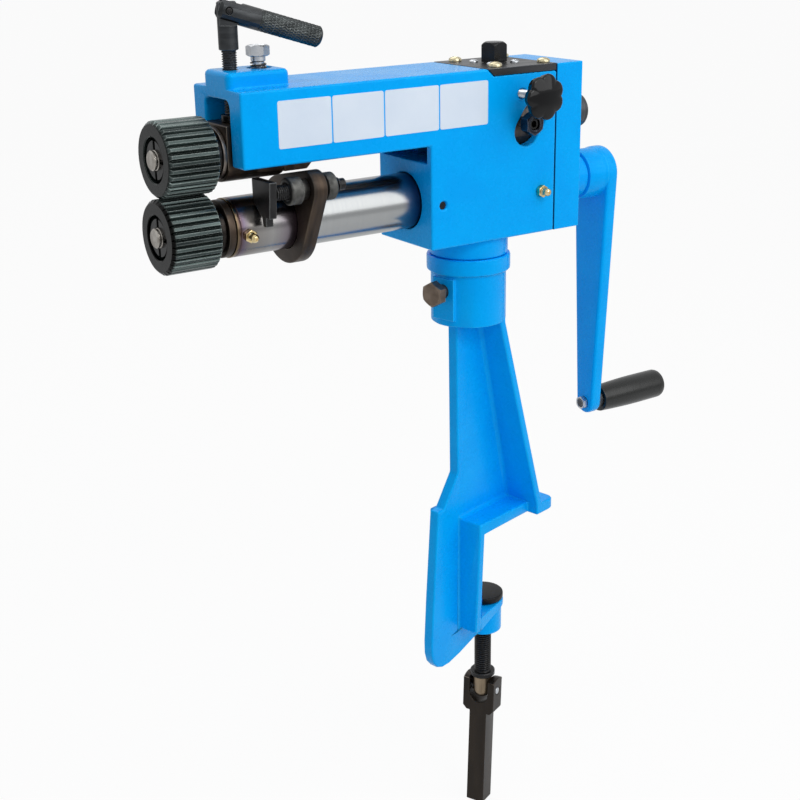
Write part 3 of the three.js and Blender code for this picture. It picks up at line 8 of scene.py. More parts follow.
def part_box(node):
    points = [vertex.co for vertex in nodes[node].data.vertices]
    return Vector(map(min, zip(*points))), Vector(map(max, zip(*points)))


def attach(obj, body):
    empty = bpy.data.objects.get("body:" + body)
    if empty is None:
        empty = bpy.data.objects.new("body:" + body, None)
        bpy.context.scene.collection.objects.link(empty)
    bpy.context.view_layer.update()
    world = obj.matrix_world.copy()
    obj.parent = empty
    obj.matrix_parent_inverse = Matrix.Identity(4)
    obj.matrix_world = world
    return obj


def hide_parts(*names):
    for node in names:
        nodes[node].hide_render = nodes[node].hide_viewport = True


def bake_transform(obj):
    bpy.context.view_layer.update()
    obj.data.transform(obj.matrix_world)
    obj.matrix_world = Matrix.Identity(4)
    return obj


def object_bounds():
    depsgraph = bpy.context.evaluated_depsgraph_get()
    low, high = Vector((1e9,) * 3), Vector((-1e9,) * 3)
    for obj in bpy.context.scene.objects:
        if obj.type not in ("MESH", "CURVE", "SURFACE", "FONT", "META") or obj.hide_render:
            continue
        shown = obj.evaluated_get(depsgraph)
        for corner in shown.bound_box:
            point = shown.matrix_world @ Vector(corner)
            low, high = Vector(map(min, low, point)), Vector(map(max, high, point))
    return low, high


# A hand cranked bead roller: a blue cast head on a swivel stand, which a screw clamps to the edge
# of a bench. Pieces are drawn in millimetres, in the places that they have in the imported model.
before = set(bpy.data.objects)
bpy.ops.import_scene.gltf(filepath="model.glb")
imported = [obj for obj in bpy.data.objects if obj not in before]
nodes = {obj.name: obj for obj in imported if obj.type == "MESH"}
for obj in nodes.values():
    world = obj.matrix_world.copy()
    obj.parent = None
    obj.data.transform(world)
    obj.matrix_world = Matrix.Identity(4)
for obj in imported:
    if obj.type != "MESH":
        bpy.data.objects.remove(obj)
cad_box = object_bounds()
scene = bpy.context.scene


# Studio: a plain pale floor under the machine, a pale room round it and large soft lamps.
# The camera stands left of the machine's side and looks down at it by about twenty degrees.
def colour(red, green, blue):
    """Linear colour from the values 0 to 255 of a colour card: each share goes through the sRGB curve."""
    share = np.array([red, green, blue]) / 255
    linear = np.where(share <= 0.04045, share / 12.92, ((share + 0.055) / 1.055) ** 2.4)
    return (*linear.tolist(), 1.0)


def put(tree, kind, inputs, **settings):
    """New shader node with its settings. Each input takes a value or is fed by a socket."""
    made = tree.nodes.new("ShaderNode" + kind)
    for setting, value in settings.items():
        setattr(made, setting, value)
    for key, value in inputs.items():
        if isinstance(value, bpy.types.NodeSocket):
            tree.links.new(value, made.inputs[key])
        else:
            made.inputs[key].default_value = value
    return made


def seen_white(tree, to_eye, to_metal):
    """A factor for what the eye sees and one for what metal and glass show. Light on things gets 0."""
    rays = put(tree, "LightPath", {}).outputs
    metal_rays = {0: rays["Is Glossy Ray"], 1: rays["Is Transmission Ray"]}
    either = put(tree, "Math", metal_rays, operation="MAXIMUM")
    in_metal = put(tree, "Math", {0: either.outputs[0], 1: to_metal}, operation="MULTIPLY")
    total = put(tree, "Math", {0: rays["Is Camera Ray"], 1: to_eye, 2: in_metal.outputs[0]},
                operation="MULTIPLY_ADD")
    return total.outputs[0]


yaw, pitch, roll = 0.98226, 0.34723, -0.01739
stands_at = (-0.5994, -0.8018, 0.4666)
ahead = np.array([cos(yaw) * cos(pitch), sin(yaw) * cos(pitch), -sin(pitch)])
right = np.array([sin(yaw), -cos(yaw), 0.0])
above = np.cross(right, ahead)
turned_right = cos(roll) * right + sin(roll) * above
turned_up = -sin(roll) * right + cos(roll) * above
eye = bpy.data.cameras.new("eye")
eye.lens, eye.sensor_width, eye.clip_end = 61.07, 36, 100
eye_object = bpy.data.objects.new("eye", eye)
axes = np.stack([turned_right, turned_up, -ahead], 1)
eye_object.matrix_world = Matrix([[*row, place] for row, place in zip(axes, stands_at)] + [[0, 0, 0, 1]])
scene.collection.objects.link(eye_object)
scene.camera = eye_object
scene.view_settings.view_transform = "Standard"

world = bpy.data.worlds.new("pale_room")
world.use_nodes = True
scene.world = world
room = world.node_tree
room_light = room.nodes["Background"]
room_light.inputs["Color"].default_value = (0.44, 0.45, 0.46, 1)
room_seen = put(room, "Background", {"Color": (1, 1, 1, 1)})
room_to_metal, floor_to_eye, floor_to_metal = 0.55, 0.93, 0.3
room_mix = put(room, "MixShader", {
    0: seen_white(room, 1, room_to_metal), 1: room_light.outputs[0], 2: room_seen.outputs[0]})
room.links.new(room_mix.outputs[0], room.nodes["World Output"].inputs[0])

floor_material = bpy.data.materials.new("pale_floor")
floor_material.use_nodes = True
floor_tree = floor_material.node_tree
floor_paint = floor_tree.nodes["Principled BSDF"]
floor_paint.inputs["Base Color"].default_value = (0.82, 0.82, 0.82, 1)
floor_paint.inputs["Roughness"].default_value = 0.9
floor_white = put(floor_tree, "Emission", {})
floor_share = seen_white(floor_tree, floor_to_eye, floor_to_metal)
floor_mix = put(floor_tree, "MixShader", {
    0: floor_share, 1: floor_paint.outputs[0], 2: floor_white.outputs[0]})
floor_tree.links.new(floor_mix.outputs[0], floor_tree.nodes["Material Output"].inputs[0])
floor_mesh = bpy.data.meshes.new("studio_floor")
level, reach = cad_box[0][2] - 0.001, 30
corners = [(-reach, -reach, level), (reach, -reach, level), (reach, reach, level), (-reach, reach, level)]
floor_mesh.from_pydata(corners, [], [(0, 1, 2, 3)])
floor_mesh.materials.append(floor_material)
floor = bpy.data.objects.new("studio_floor", floor_mesh)
scene.collection.objects.link(floor)

for lamp_name, spot, aim_height, size, power in (
    ("lamp_side", (0.5, -1.5, 1.1), 0.2, (2.0, 1.6), 14.5),
    ("lamp_window", (-0.15, -1.35, 1.35), 0.2, (0.7, 0.4), 4.5),
    ("lamp_strip", (-0.1, -0.35, 1.7), 0.25, (1.8, 0.3), 3.6),
    ("lamp_back", (0.3, 1.3, 2.0), 0.2, (1.6, 1.2), 9),
):
    lamp = bpy.data.lights.new(lamp_name, "AREA")
    lamp.shape = "RECTANGLE"
    lamp.size, lamp.size_y, lamp.energy = *size, power
    lamp_object = bpy.data.objects.new(lamp_name, lamp)
    away = Vector(spot) - Vector((0, 0, aim_height))
    lamp_object.matrix_world = Matrix.Translation(spot) @ away.to_track_quat("Z", "Y").to_matrix().to_4x4()
    scene.collection.objects.link(lamp_object)


# Stand bracket: one grey iron casting with the socket of the swivel post, a web, a slanted
# flange, the shelf that rests on the bench and the boss of the clamp screw. It is fettled,
# its arrises are rounded and it is enamelled azure blue.
def finish(name, base, shade, rough, metal=0.0, grain=45, fine=1300, relief=0.12, depth=0.0002,
           edge=None, edge_width=0.0006, edge_share=0.6, specular=0.5, glint=(1, 1, 1, 1)):
    """Surface finish: broad noise shifts the colour from base to shade, fine noise sets the roughness
    and the relief, and the arrises, where the rounded normal leaves the true one, take the edge colour.
    grain is the scale of the broad noise, or one scale for each axis."""
    material = bpy.data.materials.new(name)
    material.use_nodes = True
    tree = material.node_tree
    paint = tree.nodes["Principled BSDF"]
    for key, value in (("Metallic", metal), ("Specular IOR Level", specular), ("Specular Tint", glint)):
        paint.inputs[key].default_value = value
    place = put(tree, "TexCoord", {}).outputs["Object"]
    stretched = put(tree, "Mapping", {"Vector": place, "Scale": np.broadcast_to(grain, 3).tolist()})
    broad = put(tree, "TexNoise", {"Vector": stretched.outputs[0], "Scale": 1, "Detail": 5}).outputs["Fac"]
    spread = put(tree, "MapRange", {"Value": broad, "From Min": 0.35, "From Max": 0.68}).outputs["Result"]
    tint = put(tree, "Mix", {"Factor": spread, 6: colour(*base), 7: colour(*shade)}, data_type="RGBA")
    tone = tint.outputs[2]
    grit = put(tree, "TexNoise", {"Vector": place, "Scale": fine, "Detail": 3}).outputs["Fac"]
    half = put(tree, "Math", {0: broad, 1: 0.5}, operation="MULTIPLY").outputs[0]
    both = put(tree, "Math", {0: grit, 1: 0.5, 2: half}, operation="MULTIPLY_ADD").outputs[0]
    gloss = put(tree, "MapRange", {
        "Value": both, "From Min": 0.3, "From Max": 0.7, "To Min": rough[0], "To Max": rough[1]})
    tree.links.new(gloss.outputs["Result"], paint.inputs["Roughness"])
    bump = put(tree, "Bump", {"Height": both, "Strength": relief, "Distance": depth})
    tree.links.new(bump.outputs["Normal"], paint.inputs["Normal"])
    # The edge colour stands for wear on some finishes, and is a painted highlight along the arrises of the
    # enamel and the brown oxide.
    if edge is not None:
        rounded = put(tree, "Bevel", {"Radius": edge_width}, samples=4).outputs["Normal"]
        true = put(tree, "NewGeometry", {}).outputs["Normal"]
        agree = put(tree, "VectorMath", {0: rounded, 1: true}, operation="DOT_PRODUCT").outputs["Value"]
        arris_wear_and_highlight = put(tree, "MapRange", {
            "Value": agree, "From Min": 0.995, "From Max": 0.85, "To Max": edge_share}).outputs["Result"]
        arris_wear_and_highlight_mix = put(tree, "Mix", {"Factor": arris_wear_and_highlight, 6: tone, 7: colour(*edge)}, data_type="RGBA")
        tone = arris_wear_and_highlight_mix.outputs[2]
    tree.links.new(tone, paint.inputs["Base Color"])
    return material


def fitted(piece, body, slot, *stands_for):
    """The piece rides on its body and stands for its solids. slot is not used."""
    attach(piece, body)
    if stands_for:
        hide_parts(*stands_for)
    return piece


def cast(name, fit, node, material, width, soft=None, below=None):
    """Casting or machined piece with rounded arrises: the solid's loose triangles are merged, flat areas
    are dissolved, and every sharp edge gets a rounding of the width, times its share from
    soft(middles of the edges, whether they are hollow). below cuts the copy at a plane (point,
    normal) and keeps the side behind it. fit is what fitted takes."""
    sharp_bend = radians(32)
    mesh = nodes[node].data.copy()
    mesh.name = name
    work = bmesh.new()
    work.from_mesh(mesh)
    bmesh.ops.remove_doubles(work, verts=work.verts, dist=3e-6)
    if below is not None:
        whole = work.verts[:] + work.edges[:] + work.faces[:]
        cut = bmesh.ops.bisect_plane(work, geom=whole, plane_co=below[0], plane_no=below[1], clear_outer=True)
        rim = [part for part in cut["geom_cut"] if isinstance(part, bmesh.types.BMEdge)]
        bmesh.ops.holes_fill(work, edges=rim)
    bmesh.ops.dissolve_limit(work, angle_limit=radians(0.6), verts=work.verts, edges=work.edges)
    bends = np.array([edge.calc_face_angle_signed(0.0) for edge in work.edges])
    middles = np.array([(edge.verts[0].co + edge.verts[1].co) / 2 for edge in work.edges])
    work.to_mesh(mesh)
    work.free()
    mesh.materials.clear()
    mesh.materials.append(material)
    shares = np.ones(len(bends)) if soft is None else soft(middles * 1000, bends < 0)
    greatest = shares.max()
    weights = mesh.attributes.new("bevel_weight_edge", "FLOAT", "EDGE")
    is_sharp = np.abs(bends) > sharp_bend
    weights.data.foreach_set("value", np.where(is_sharp, shares / greatest, 0).astype(np.float32))
    mesh.shade_smooth()
    mesh.set_sharp_from_angle(angle=sharp_bend)
    piece = bpy.data.objects.new(name, mesh)
    scene.collection.objects.link(piece)
    rounding = piece.modifiers.new("rounded_arrises", "BEVEL")
    rounding.width, rounding.segments, rounding.limit_method = greatest * width / 1000, 3, "WEIGHT"
    rounding.use_clamp_overlap = False
    rounding.harden_normals = True
    return fitted(piece, *fit)


# The enamel's lighter edge colour is a painted highlight along the arrises.
ENAMEL = dict(base=(0, 169, 250), shade=(0, 162, 246), rough=(0.2, 0.34), grain=34, fine=260,
              relief=0.3, depth=0.0008, edge=(60, 200, 252), edge_width=0.0014, edge_share=0.5,
              specular=0.32, glint=(0.1, 0.75, 1, 1))
enamel = finish("azure_enamel", **ENAMEL)
stand_turn = 13.43
clamp_x = 19.5
socket_foot, rim_foot = 171.2, 210.9
back_of_shelf = -17
web_half = 4.6


def bracket_softness(middles, hollow):
    """Share of the rounding: wide fillets where the web meets the flanges and under the rim of the socket,
    a small one on the flat pad of the lock bolt, in the bores and where the flange passes the socket."""
    turn = radians(stand_turn)
    x = middles[:, 0] * cos(turn) + middles[:, 1] * sin(turn)
    y = -middles[:, 0] * sin(turn) + middles[:, 1] * cos(turn)
    z = middles[:, 2]
    from_post = np.hypot(x, y)
    from_screw = np.hypot(x - clamp_x, y)
    web_root = hollow & (np.abs(np.abs(y) - web_half) < 0.4) & (z < socket_foot - 3)
    back_root = (np.abs(x - back_of_shelf) < 1) & (z < 5)
    rim_root = hollow & (np.abs(z - rim_foot) < 0.6) & (from_post > 27)
    pad = (x < -24) & (z > socket_foot - 1) & (np.abs(y) < 11)
    bore = (from_post < 24) & (z > socket_foot) | (from_screw < 9) & (z < -60)
    arm = (z < -70) & (x > -12)
    flange_top = (np.abs(z - socket_foot) < 4) & (np.abs(y) > 18)
    share = np.where(web_root, np.where(back_root, 1.3, 2.6), np.where(rim_root, 1.3, 1.0))
    share = np.where(arm, 0.6, np.where(flange_top, 0.2, share))
    return np.where(pad, 0.3, np.where(bore, 0.35, share))


cast("bracket_casting", ("stand", "blue_paint", "stand_bracket"), "stand_bracket", enamel, 1.5,
     bracket_softness)


# Swivel lock: a hexagon bolt, dulled by handling, through the flat pad of the socket.
# It is turned and its head is chamfered on the outer face only.
def shifted(x, y, z, turn_about_z=0.0, turn_about_y=0.0, turn_about_x=0.0):
    """A place in millimetres: a shift, after turns about Z, Y and X, as a 4 by 4 array."""
    turn = (Matrix.Rotation(radians(turn_about_z), 4, "Z") @ Matrix.Rotation(radians(turn_about_y), 4, "Y")
            @ Matrix.Rotation(radians(turn_about_x), 4, "X"))
    return np.array(Matrix.Translation((x, y, z)) @ turn)


# Each axis with the two directions across it, from which angles are counted
AXES = {"x": np.eye(3), "y": np.eye(3)[[1, 0, 2]], "z": np.eye(3)[[2, 0, 1]]}
HEX_CREASE = 28


def skin(name, fit, grid, place, material, crease=35):
    """Closed skin over a grid of points in millimetres: neighbours are joined by four-sided faces,
    points that meet at seams and poles are merged, and the faces are turned outwards."""
    rows_down, columns, _ = grid.shape
    points = (grid.reshape(-1, 3) @ place[:3, :3].T + place[:3, 3]) / 1000
    index = np.arange(rows_down * columns).reshape(rows_down, columns)
    faces = np.stack([index[:-1, :-1], index[1:, :-1], index[1:, 1:], index[:-1, 1:]], -1).reshape(-1, 4)
    mesh = bpy.data.meshes.new(name)
    mesh.from_pydata(points.tolist(), [], faces.tolist())
    work = bmesh.new()
    work.from_mesh(mesh)
    bmesh.ops.remove_doubles(work, verts=work.verts, dist=2e-6)
    bmesh.ops.recalc_face_normals(work, faces=work.faces)
    work.to_mesh(mesh)
    work.free()
    mesh.materials.append(material)
    mesh.shade_smooth()
    mesh.set_sharp_from_angle(angle=radians(crease))
    piece = bpy.data.objects.new(name, mesh)
    scene.collection.objects.link(piece)
    return fitted(piece, *fit) if fit else piece


def turned(name, fit, profile, place, material, axis="x", at=(0, 0, 0), section=None, sides=72, angles=None,
           crease=35):
    """Turned piece: each profile point (along, radius) goes round the axis, so a grid point is the
    centre + along * axis + radius * (cos angle * side + sin angle * up). section(angle, along, radius)
    may hold the radius back to a hexagon, a thread, teeth or lobes."""
    along, radius = np.asarray(profile, float).T
    angles = np.linspace(0, 2 * pi, sides + 1) if angles is None else angles
    angle, along = np.meshgrid(angles, along)
    radius = np.repeat(radius[:, None], len(angles), 1)
    if section is not None:
        radius = section(angle, along, radius)
    line, side, up = AXES[axis]
    grid = (np.array(at, float) + along[..., None] * line
            + radius[..., None] * (np.cos(angle)[..., None] * side + np.sin(angle)[..., None] * up))
    return skin(name, fit, grid, place, material, crease)


def hexagon(flats, angle):
    """Radius of a hexagon at an angle: half the size across flats, over the cosine of the angle from the
    middle of the nearest flat."""
    return flats / 2 / np.cos((angle + pi / 6) % (pi / 3) - pi / 6)


def hex_head(start, end, flats, both=False):
    """Profile of a hexagon head from its outer face at start to its seat at end: the 30 degree chamfer
    runs from inside the flats out to the corners."""
    face, corner = flats / 2 * 0.95, flats / 2 / cos(pi / 6) + 0.01
    fall = (corner - face) * 0.577 * np.sign(end - start)
    cone = [(start + fall * share, face + (corner - face) * share) for share in np.linspace(0, 1, 6)]
    rear = [(end - fall * share, face + (corner - face) * share) for share in np.linspace(1, 0, 6)]
    return cone + (rear if both else [(end, corner)])


def within_hexagon(flats, start, end, bore=False):
    """A section that holds the radius to a hexagon between two places along the axis: the whole
    radius, or only that of a bore which is no wider than the hexagon's corners."""
    low, high = min(start, end) - 1e-6, max(start, end) + 1e-6
    widest = flats / 2 / cos(pi / 6) + 0.02 if bore else np.inf
    return lambda angle, along, radius: np.where(
        (along >= low) & (along <= high) & (radius <= widest),
        np.minimum(radius, hexagon(flats, angle)), radius)


STAND = shifted(0, 0, 0, stand_turn)
bolt_steel = finish("dull_bolt_steel", (128, 114, 102), (94, 82, 72), (0.3, 0.46), metal=0.9, grain=120,
                    edge=(176, 166, 156))
lock_height = 198.1
lock_flats, lock_face, lock_seat, lock_tip = 17, -43, -36.5, -18.4
profile = [(lock_face, 0)] + hex_head(lock_face, lock_seat, lock_flats)
profile += [(lock_seat, 5), (lock_tip, 5), (lock_tip, 0)]
turned("swivel_lock_bolt", ("head_lock", "zinc_plate", "head_lock_bolt"), profile, STAND, bolt_steel,
       at=(0, 0, lock_height), section=within_hexagon(lock_flats, lock_face, lock_seat), crease=HEX_CREASE)


# Clamp: a blackened screw through the boss carries a swivel pad at its top and a forked bar
# that folds on a cross pin at its foot. The screw thread is cut, the fork and bar are milled.
def eased(profile, reach):
    """Profile whose inner corners are rounded: each gives way to a curve between the points that lie the
    reach before and after it."""
    points = np.array(profile, float)
    corner = points[1:-1]
    back, on = points[:-2] - corner, points[2:] - corner
    back_length = np.maximum(np.linalg.norm(back, axis=1, keepdims=True), 1e-9)
    on_length = np.maximum(np.linalg.norm(on, axis=1, keepdims=True), 1e-9)
    start = corner + back / back_length * np.minimum(reach, back_length * 0.45)
    end = corner + on / on_length * np.minimum(reach, on_length * 0.45)
    share = np.linspace(0, 1, 4)[:, None, None]
    curve = (1 - share) ** 2 * start + 2 * share * (1 - share) * corner + share ** 2 * end
    return np.vstack([points[:1], curve.transpose(1, 0, 2).reshape(-1, 2), points[-1:]])


def thread(root, crest, pitch, start, end):
    """A section that holds the radius to a screw thread between two places along the axis: a helical
    ramp of 60 degree flanks with small flats, which fades out over 0.6 of a pitch at its ends."""
    def section(angle, along, radius):
        phase = (along / pitch - angle / (2 * pi)) % 1
        tooth = np.clip(1.25 - np.abs(phase * 2 - 1) * 1.5, 0, 1)
        ends = np.clip(np.minimum(along - start, end - along) / (0.6 * pitch), 0, 1)
        cut = crest - (crest - root) * tooth * ends
        inside = (along > start) & (along < end)
        return np.where(inside, np.minimum(radius, cut), radius)
    return section


def rows(start, end, radius, step):
    """Closely spaced profile points along a stretch of one radius."""
    return [(place, radius) for place in np.linspace(start, end, int(abs(end - start) / step) + 1)]


screw_turn, fold_height, fold_lean = 11.87, -163.7, 3.5
CLAMP = STAND @ shifted(clamp_x, 0, 0, screw_turn)
oxide = finish("black_oxide", (32, 32, 33), (19, 19, 20), (0.2, 0.34), metal=0.55, grain=120, fine=1500,
               relief=0.1, edge=(112, 112, 112), edge_width=0.0005)
milled_oxide = finish("milled_oxide", (44, 36, 28), (26, 20, 15), (0.24, 0.42), metal=0.6, grain=(60, 60, 14),
                      fine=1200, relief=0.14, edge=(112, 100, 88), edge_width=0.0007)
barrel_steel = finish("worn_barrel_steel", (150, 134, 112), (96, 82, 66), (0.26, 0.4), metal=0.9,
                      grain=(200, 200, 30), relief=0.1, edge=(226, 220, 210))
pad_oxide = finish("pad_oxide", (20, 20, 21), (11, 11, 12), (0.32, 0.46), metal=0.3, grain=120,
                   edge=(74, 74, 74), edge_width=0.0005, specular=0.3)
zinc = finish("zinc_plate", (214, 216, 219), (176, 180, 185), (0.22, 0.42), metal=1, grain=90, fine=1400,
              relief=0.1, edge=(225, 227, 230), edge_width=0.0004)
jaw, pad_radius, neck_radius, pad_foot = -71, 16.6, 9.5, -76.6
pad_profile = [(-73, 0), (-73, 4.3), (pad_foot, 4.3), (pad_foot, neck_radius), (-76, neck_radius),
               (-76, pad_radius), (jaw, pad_radius), (jaw, 0)]
turned("clamp_swivel_pad", ("clamp_pad", "black_oxide", "clamp_pad"), eased(pad_profile, 1.1), CLAMP,
       pad_oxide, "z")
collar_foot, collar_top, screw_end = -151.1, -145.9, -77.1
screw_crest, screw_root = 7.1, 5.9
screw_profile = [(collar_foot, 0), (collar_foot, 8.9), (-149.6, 10.4), (-146.5, 10.4), (collar_top, 9.8)]
screw_profile += [(collar_top, screw_crest)] + rows(-145.7, -77.4, screw_crest, 0.2)
screw_profile += [(screw_end, 6.4), (screw_end, 4), (-73.6, 4), (-73.3, 3.6), (-73.3, 0)]
turned("clamp_thread", ("clamp_screw", "black_oxide"), screw_profile, CLAMP, oxide, "z",
       section=thread(screw_root, screw_crest, 2, -145.8, -77.2))
cast("clamp_barrel", ("clamp_screw", "black_oxide", "clamp_screw"), "clamp_screw", barrel_steel, 0.5,
     below=((0, 0, (collar_foot + 0.15) / 1000), (0, 0, 1)))
cast("clamp_bar", ("clamp_handle", "black_oxide", "clamp_handle"), "clamp_handle", milled_oxide, 0.9)
CLAMP_FOLD = CLAMP @ shifted(0, 0, fold_height, turn_about_y=fold_lean)
pin_profile = eased([(-14.5, 0), (-14.5, 3), (14.5, 3), (14.5, 0)], 0.7)
turned("clamp_cross_pin", ("clamp_handle", "zinc_plate", "clamp_handle_pin"), pin_profile, CLAMP_FOLD, zinc,
       "y")


# Head casting: the block with the gear cavity, the hollow beam above the throat, the boss of
# the press screw and the swivel post, all one enamelled casting, with its bolted rear cover.
# Inside the head, heights are taken from the axis of the lower shaft.
head_place = np.array([-56.8, 0, 269.1])
HEAD = shifted(*head_place)
shaft_spacing = 50
head_top, beam_front = 91.4, -145.5


def boss_softness(middles, hollow):
    """Share of the rounding: full round the boss on the beam, less on the small holes and the channel."""
    x, y, z = (middles - head_place).T
    near_boss = (z > 93) & (x < -98)
    in_bore = near_boss & (np.abs(y) < 9) & (x > -143) & (x < -103)
    outside = (np.abs(y) > 30) | (z > 90) | (x < beam_front + 1.5)
    share = np.where(in_bore, 0.15, np.where(near_boss, 1.0, np.where(outside, 0.55, 0.35)))
    boss_foot = (np.abs(z - head_top) < 0.5) & (np.abs(y) < 18.5) & (x < -99)
    return np.where(boss_foot, np.where(x < -139, 0, 0.5), share)


def tint_and_shade_along_x(material, marks):
    """Colours a finish by the place along X: between the marks (metres, card colour) the tint runs evenly
    and multiplies what is there."""
    tree = material.node_tree
    paint = tree.nodes["Principled BSDF"]
    before = paint.inputs["Base Color"].links[0].from_socket
    place = put(tree, "TexCoord", {}).outputs["Object"]
    apart = put(tree, "SeparateXYZ", {0: place})
    first, span = marks[0][0], marks[-1][0] - marks[0][0]
    along = put(tree, "MapRange", {"Value": apart.outputs["X"], "From Min": first, "From Max": marks[-1][0]})
    ramp = put(tree, "ValToRGB", {"Fac": along.outputs["Result"]})
    stops = ramp.color_ramp.elements
    for _ in marks[2:]:
        stops.new(0.5)
    for stop, (mark, tint) in zip(stops, marks):
        stop.position = (mark - first) / span
    for stop, (mark, tint) in zip(stops, marks):
        stop.color = colour(*tint)
    tinted = put(tree, "Mix", {"Factor": 1, 6: before, 7: ramp.outputs["Color"]}, data_type="RGBA",
                 blend_type="MULTIPLY")
    tree.links.new(tinted.outputs[2], paint.inputs["Base Color"])


cast("head_block_and_beam", ("head", "blue_paint", "head_casting"), "head_casting", enamel, 3.2,
     boss_softness)
clear, seam_shadow = (255, 255, 255), (50, 74, 104)
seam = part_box("rear_cover")[0][0]
cover_enamel = finish("cover_enamel", **ENAMEL)
tint_and_shade_along_x(cover_enamel, [(seam, seam_shadow), (seam + 0.0005, seam_shadow), (seam + 0.0009, clear),
                         (seam + 0.05, clear)])
cast("gear_cover", ("head", "blue_paint", "rear_cover"), "rear_cover", cover_enamel, 0.8)


# Screws of the rear cover: four zinc plated cap screws with hexagon sockets. Their heads are
# sunk in the cover, and they run through it into the block.
screw_tip, screw_seat, head_end, socket_floor, socket_mouth = 99.7, 129.8, 135.8, 132.8, 135.5
profile = [(screw_tip, 0), (screw_tip, 2.6), (screw_tip + 0.4, 3), (screw_seat, 3), (screw_seat, 4.6),
           (head_end - 0.6, 4.6), (head_end, 4.0), (head_end, 3.1), (socket_mouth, 2.9), (socket_floor, 2.9),
           (socket_floor, 0)]
for number, (y, z) in enumerate([(-26, -25), (-26, 71), (26, -25), (26, 71)], 1):
    turned(f"cover_cap_screw_{number}", ("head", "zinc_plate", f"cover_screw_{number}"), profile, HEAD, zinc,
           at=(0, y, z), section=within_hexagon(5, socket_floor, socket_mouth, bore=True))


# Lower tube: ground steel, pressed into the front wall of the block. It holds the lower shaft and
# guides the gauge. The heat of fitting has left straw and purple tints on it. A bush closes its mouth.
def eased_ring(profile, reach):
    """Eased profile of a ring, closed by its own first point."""
    return np.vstack([eased(profile, reach), profile[:1]])


tube_steel = finish("ground_tube_steel", (166, 168, 168), (162, 164, 165), (0.214, 0.226), metal=1,
                    grain=(500, 4, 4), fine=1500, relief=0.008, depth=0.0001)
tint_and_shade_along_x(tube_steel, [
    (-0.2030, (190, 166, 124)), (-0.2000, (140, 112, 112)), (-0.1975, (168, 150, 172)),
    (-0.1925, (205, 196, 190)), (-0.1760, (232, 228, 226)), (-0.1660, (196, 184, 192)),
    (-0.1590, (132, 112, 128)), (-0.1480, (150, 138, 150)), (-0.1440, clear), (-0.0720, clear),
    (-0.0660, (222, 214, 226)), (-0.0605, (150, 138, 170)), (-0.0568, (110, 104, 128)), (-0.0360, clear)])
tube_front, tube_rear, tube_radius, tube_bore = -145.7, 20, 20.06, 14.5
tube_profile = [(tube_front, tube_bore), (tube_front, tube_radius), (-143.2, tube_radius), (-143.1, 19.7),
                (-142.7, 19.7), (-142.6, tube_radius), (tube_rear, tube_radius), (tube_rear, tube_bore)]
turned("lower_shaft_tube", ("head", "ground_steel", "lower_tube"), eased_ring(tube_profile, 0.35), HEAD,
       tube_steel, sides=128)
# The light edge colour of the brown oxide is wear and a painted highlight along the arrises.
brown = finish("brown_oxide", (74, 62, 52), (46, 40, 36), (0.3, 0.5), metal=0.8, grain=(200, 30, 30),
               edge=(178, 168, 152), edge_width=0.0009)
shaft_bore = 10.3
bush_profile = [(-151.2, shaft_bore), (-151.2, 19.4), (-146, 19.4), (-146, 14.2), (-125, 14.2),
                (-125, shaft_bore)]
turned("tube_mouth_bush", ("head", "brown_oxide", "tube_front_bush"), eased_ring(bush_profile, 0.6), HEAD,
       brown, sides=128)


# Grease nipples: brass, turned from hexagon bar, with a necked tip and its ball hole.
# One feeds the tube near its mouth, and one the gears through the side of the block.
brass = finish("nipple_brass", (230, 210, 164), (192, 172, 124), (0.16, 0.3), metal=1, grain=200, fine=1600,
               relief=0.08, edge=(246, 214, 140), edge_width=0.0004)
nipple_flats, nipple_hex = 8, -3.6
nipple_profile = [(3.5, 0), (3.5, 2.6), (0, 2.6)] + hex_head(0, nipple_hex, nipple_flats, both=True)
nipple_profile += [(nipple_hex, 3.0), (-4.2, 2.7), (-5.2, 2.15), (-6.2, 2.1), (-6.9, 2.7), (-7.6, 3.0),
                   (-8.6, 2.75), (-9.6, 1.9), (-10, 1.3), (-10, 0.7), (-9.4, 0.5), (-9.4, 0)]
nipple_lean, nipple_seat = 6.5, tube_radius + 0.3
TUBE_NIPPLE = HEAD @ shifted(-137.5, -nipple_seat * cos(radians(nipple_lean)),
                             -nipple_seat * sin(radians(nipple_lean)), turn_about_x=nipple_lean)
SIDE_NIPPLE = HEAD @ shifted(98.5, -33.6, 0)
for name, place, node in (("tube_grease_nipple", TUBE_NIPPLE, "tube_nipple"),
                          ("side_grease_nipple", SIDE_NIPPLE, "side_nipple")):
    turned(name, ("head", "brass", node), nipple_profile, place, brass, "y", crease=HEX_CREASE,
           section=within_hexagon(nipple_flats, nipple_hex, 0))


# Top plate: dark steel, let into the top of the block behind a sloped edge, held by four pan
# head screws. Four small gland screws and the square adjuster post stand in its middle.
def pan_head(name, fit, place, material, radius, height, shank, foot, base, arm, wide, deep):
    """Pan head screw: the top is a low dome over a disc, sunk by a fixed depth where a point lies within
    either arm of the cross, with short sloping walls."""
    reach = np.concatenate([np.linspace(0, radius * 0.86, 26), radius * np.array([0.93, 0.98, 1.0])])
    angle, reach = np.meshgrid(np.linspace(0, 2 * pi, 97), reach)
    x, y = reach * np.cos(angle), reach * np.sin(angle)
    dome = height * np.sqrt(np.clip(1 - (reach / (radius * 1.04)) ** 2, 0, 1)) ** 0.7
    one_arm = np.maximum(np.abs(x) - arm, np.abs(y) - wide)
    other_arm = np.maximum(np.abs(y) - arm, np.abs(x) - wide)
    dome = np.maximum(dome - deep * np.clip(0.5 - np.minimum(one_arm, other_arm) / 0.25, 0, 1), 0.2)
    top = np.stack([x, y, base + dome], -1)
    sides = [np.stack([r * np.cos(angle[0]), r * np.sin(angle[0]), np.full_like(angle[0], z)], -1)
             for r, z in ((radius, base), (shank, base), (shank, foot), (0, foot))]
    return skin(name, fit, np.concatenate([top, np.stack(sides)]), place, material)


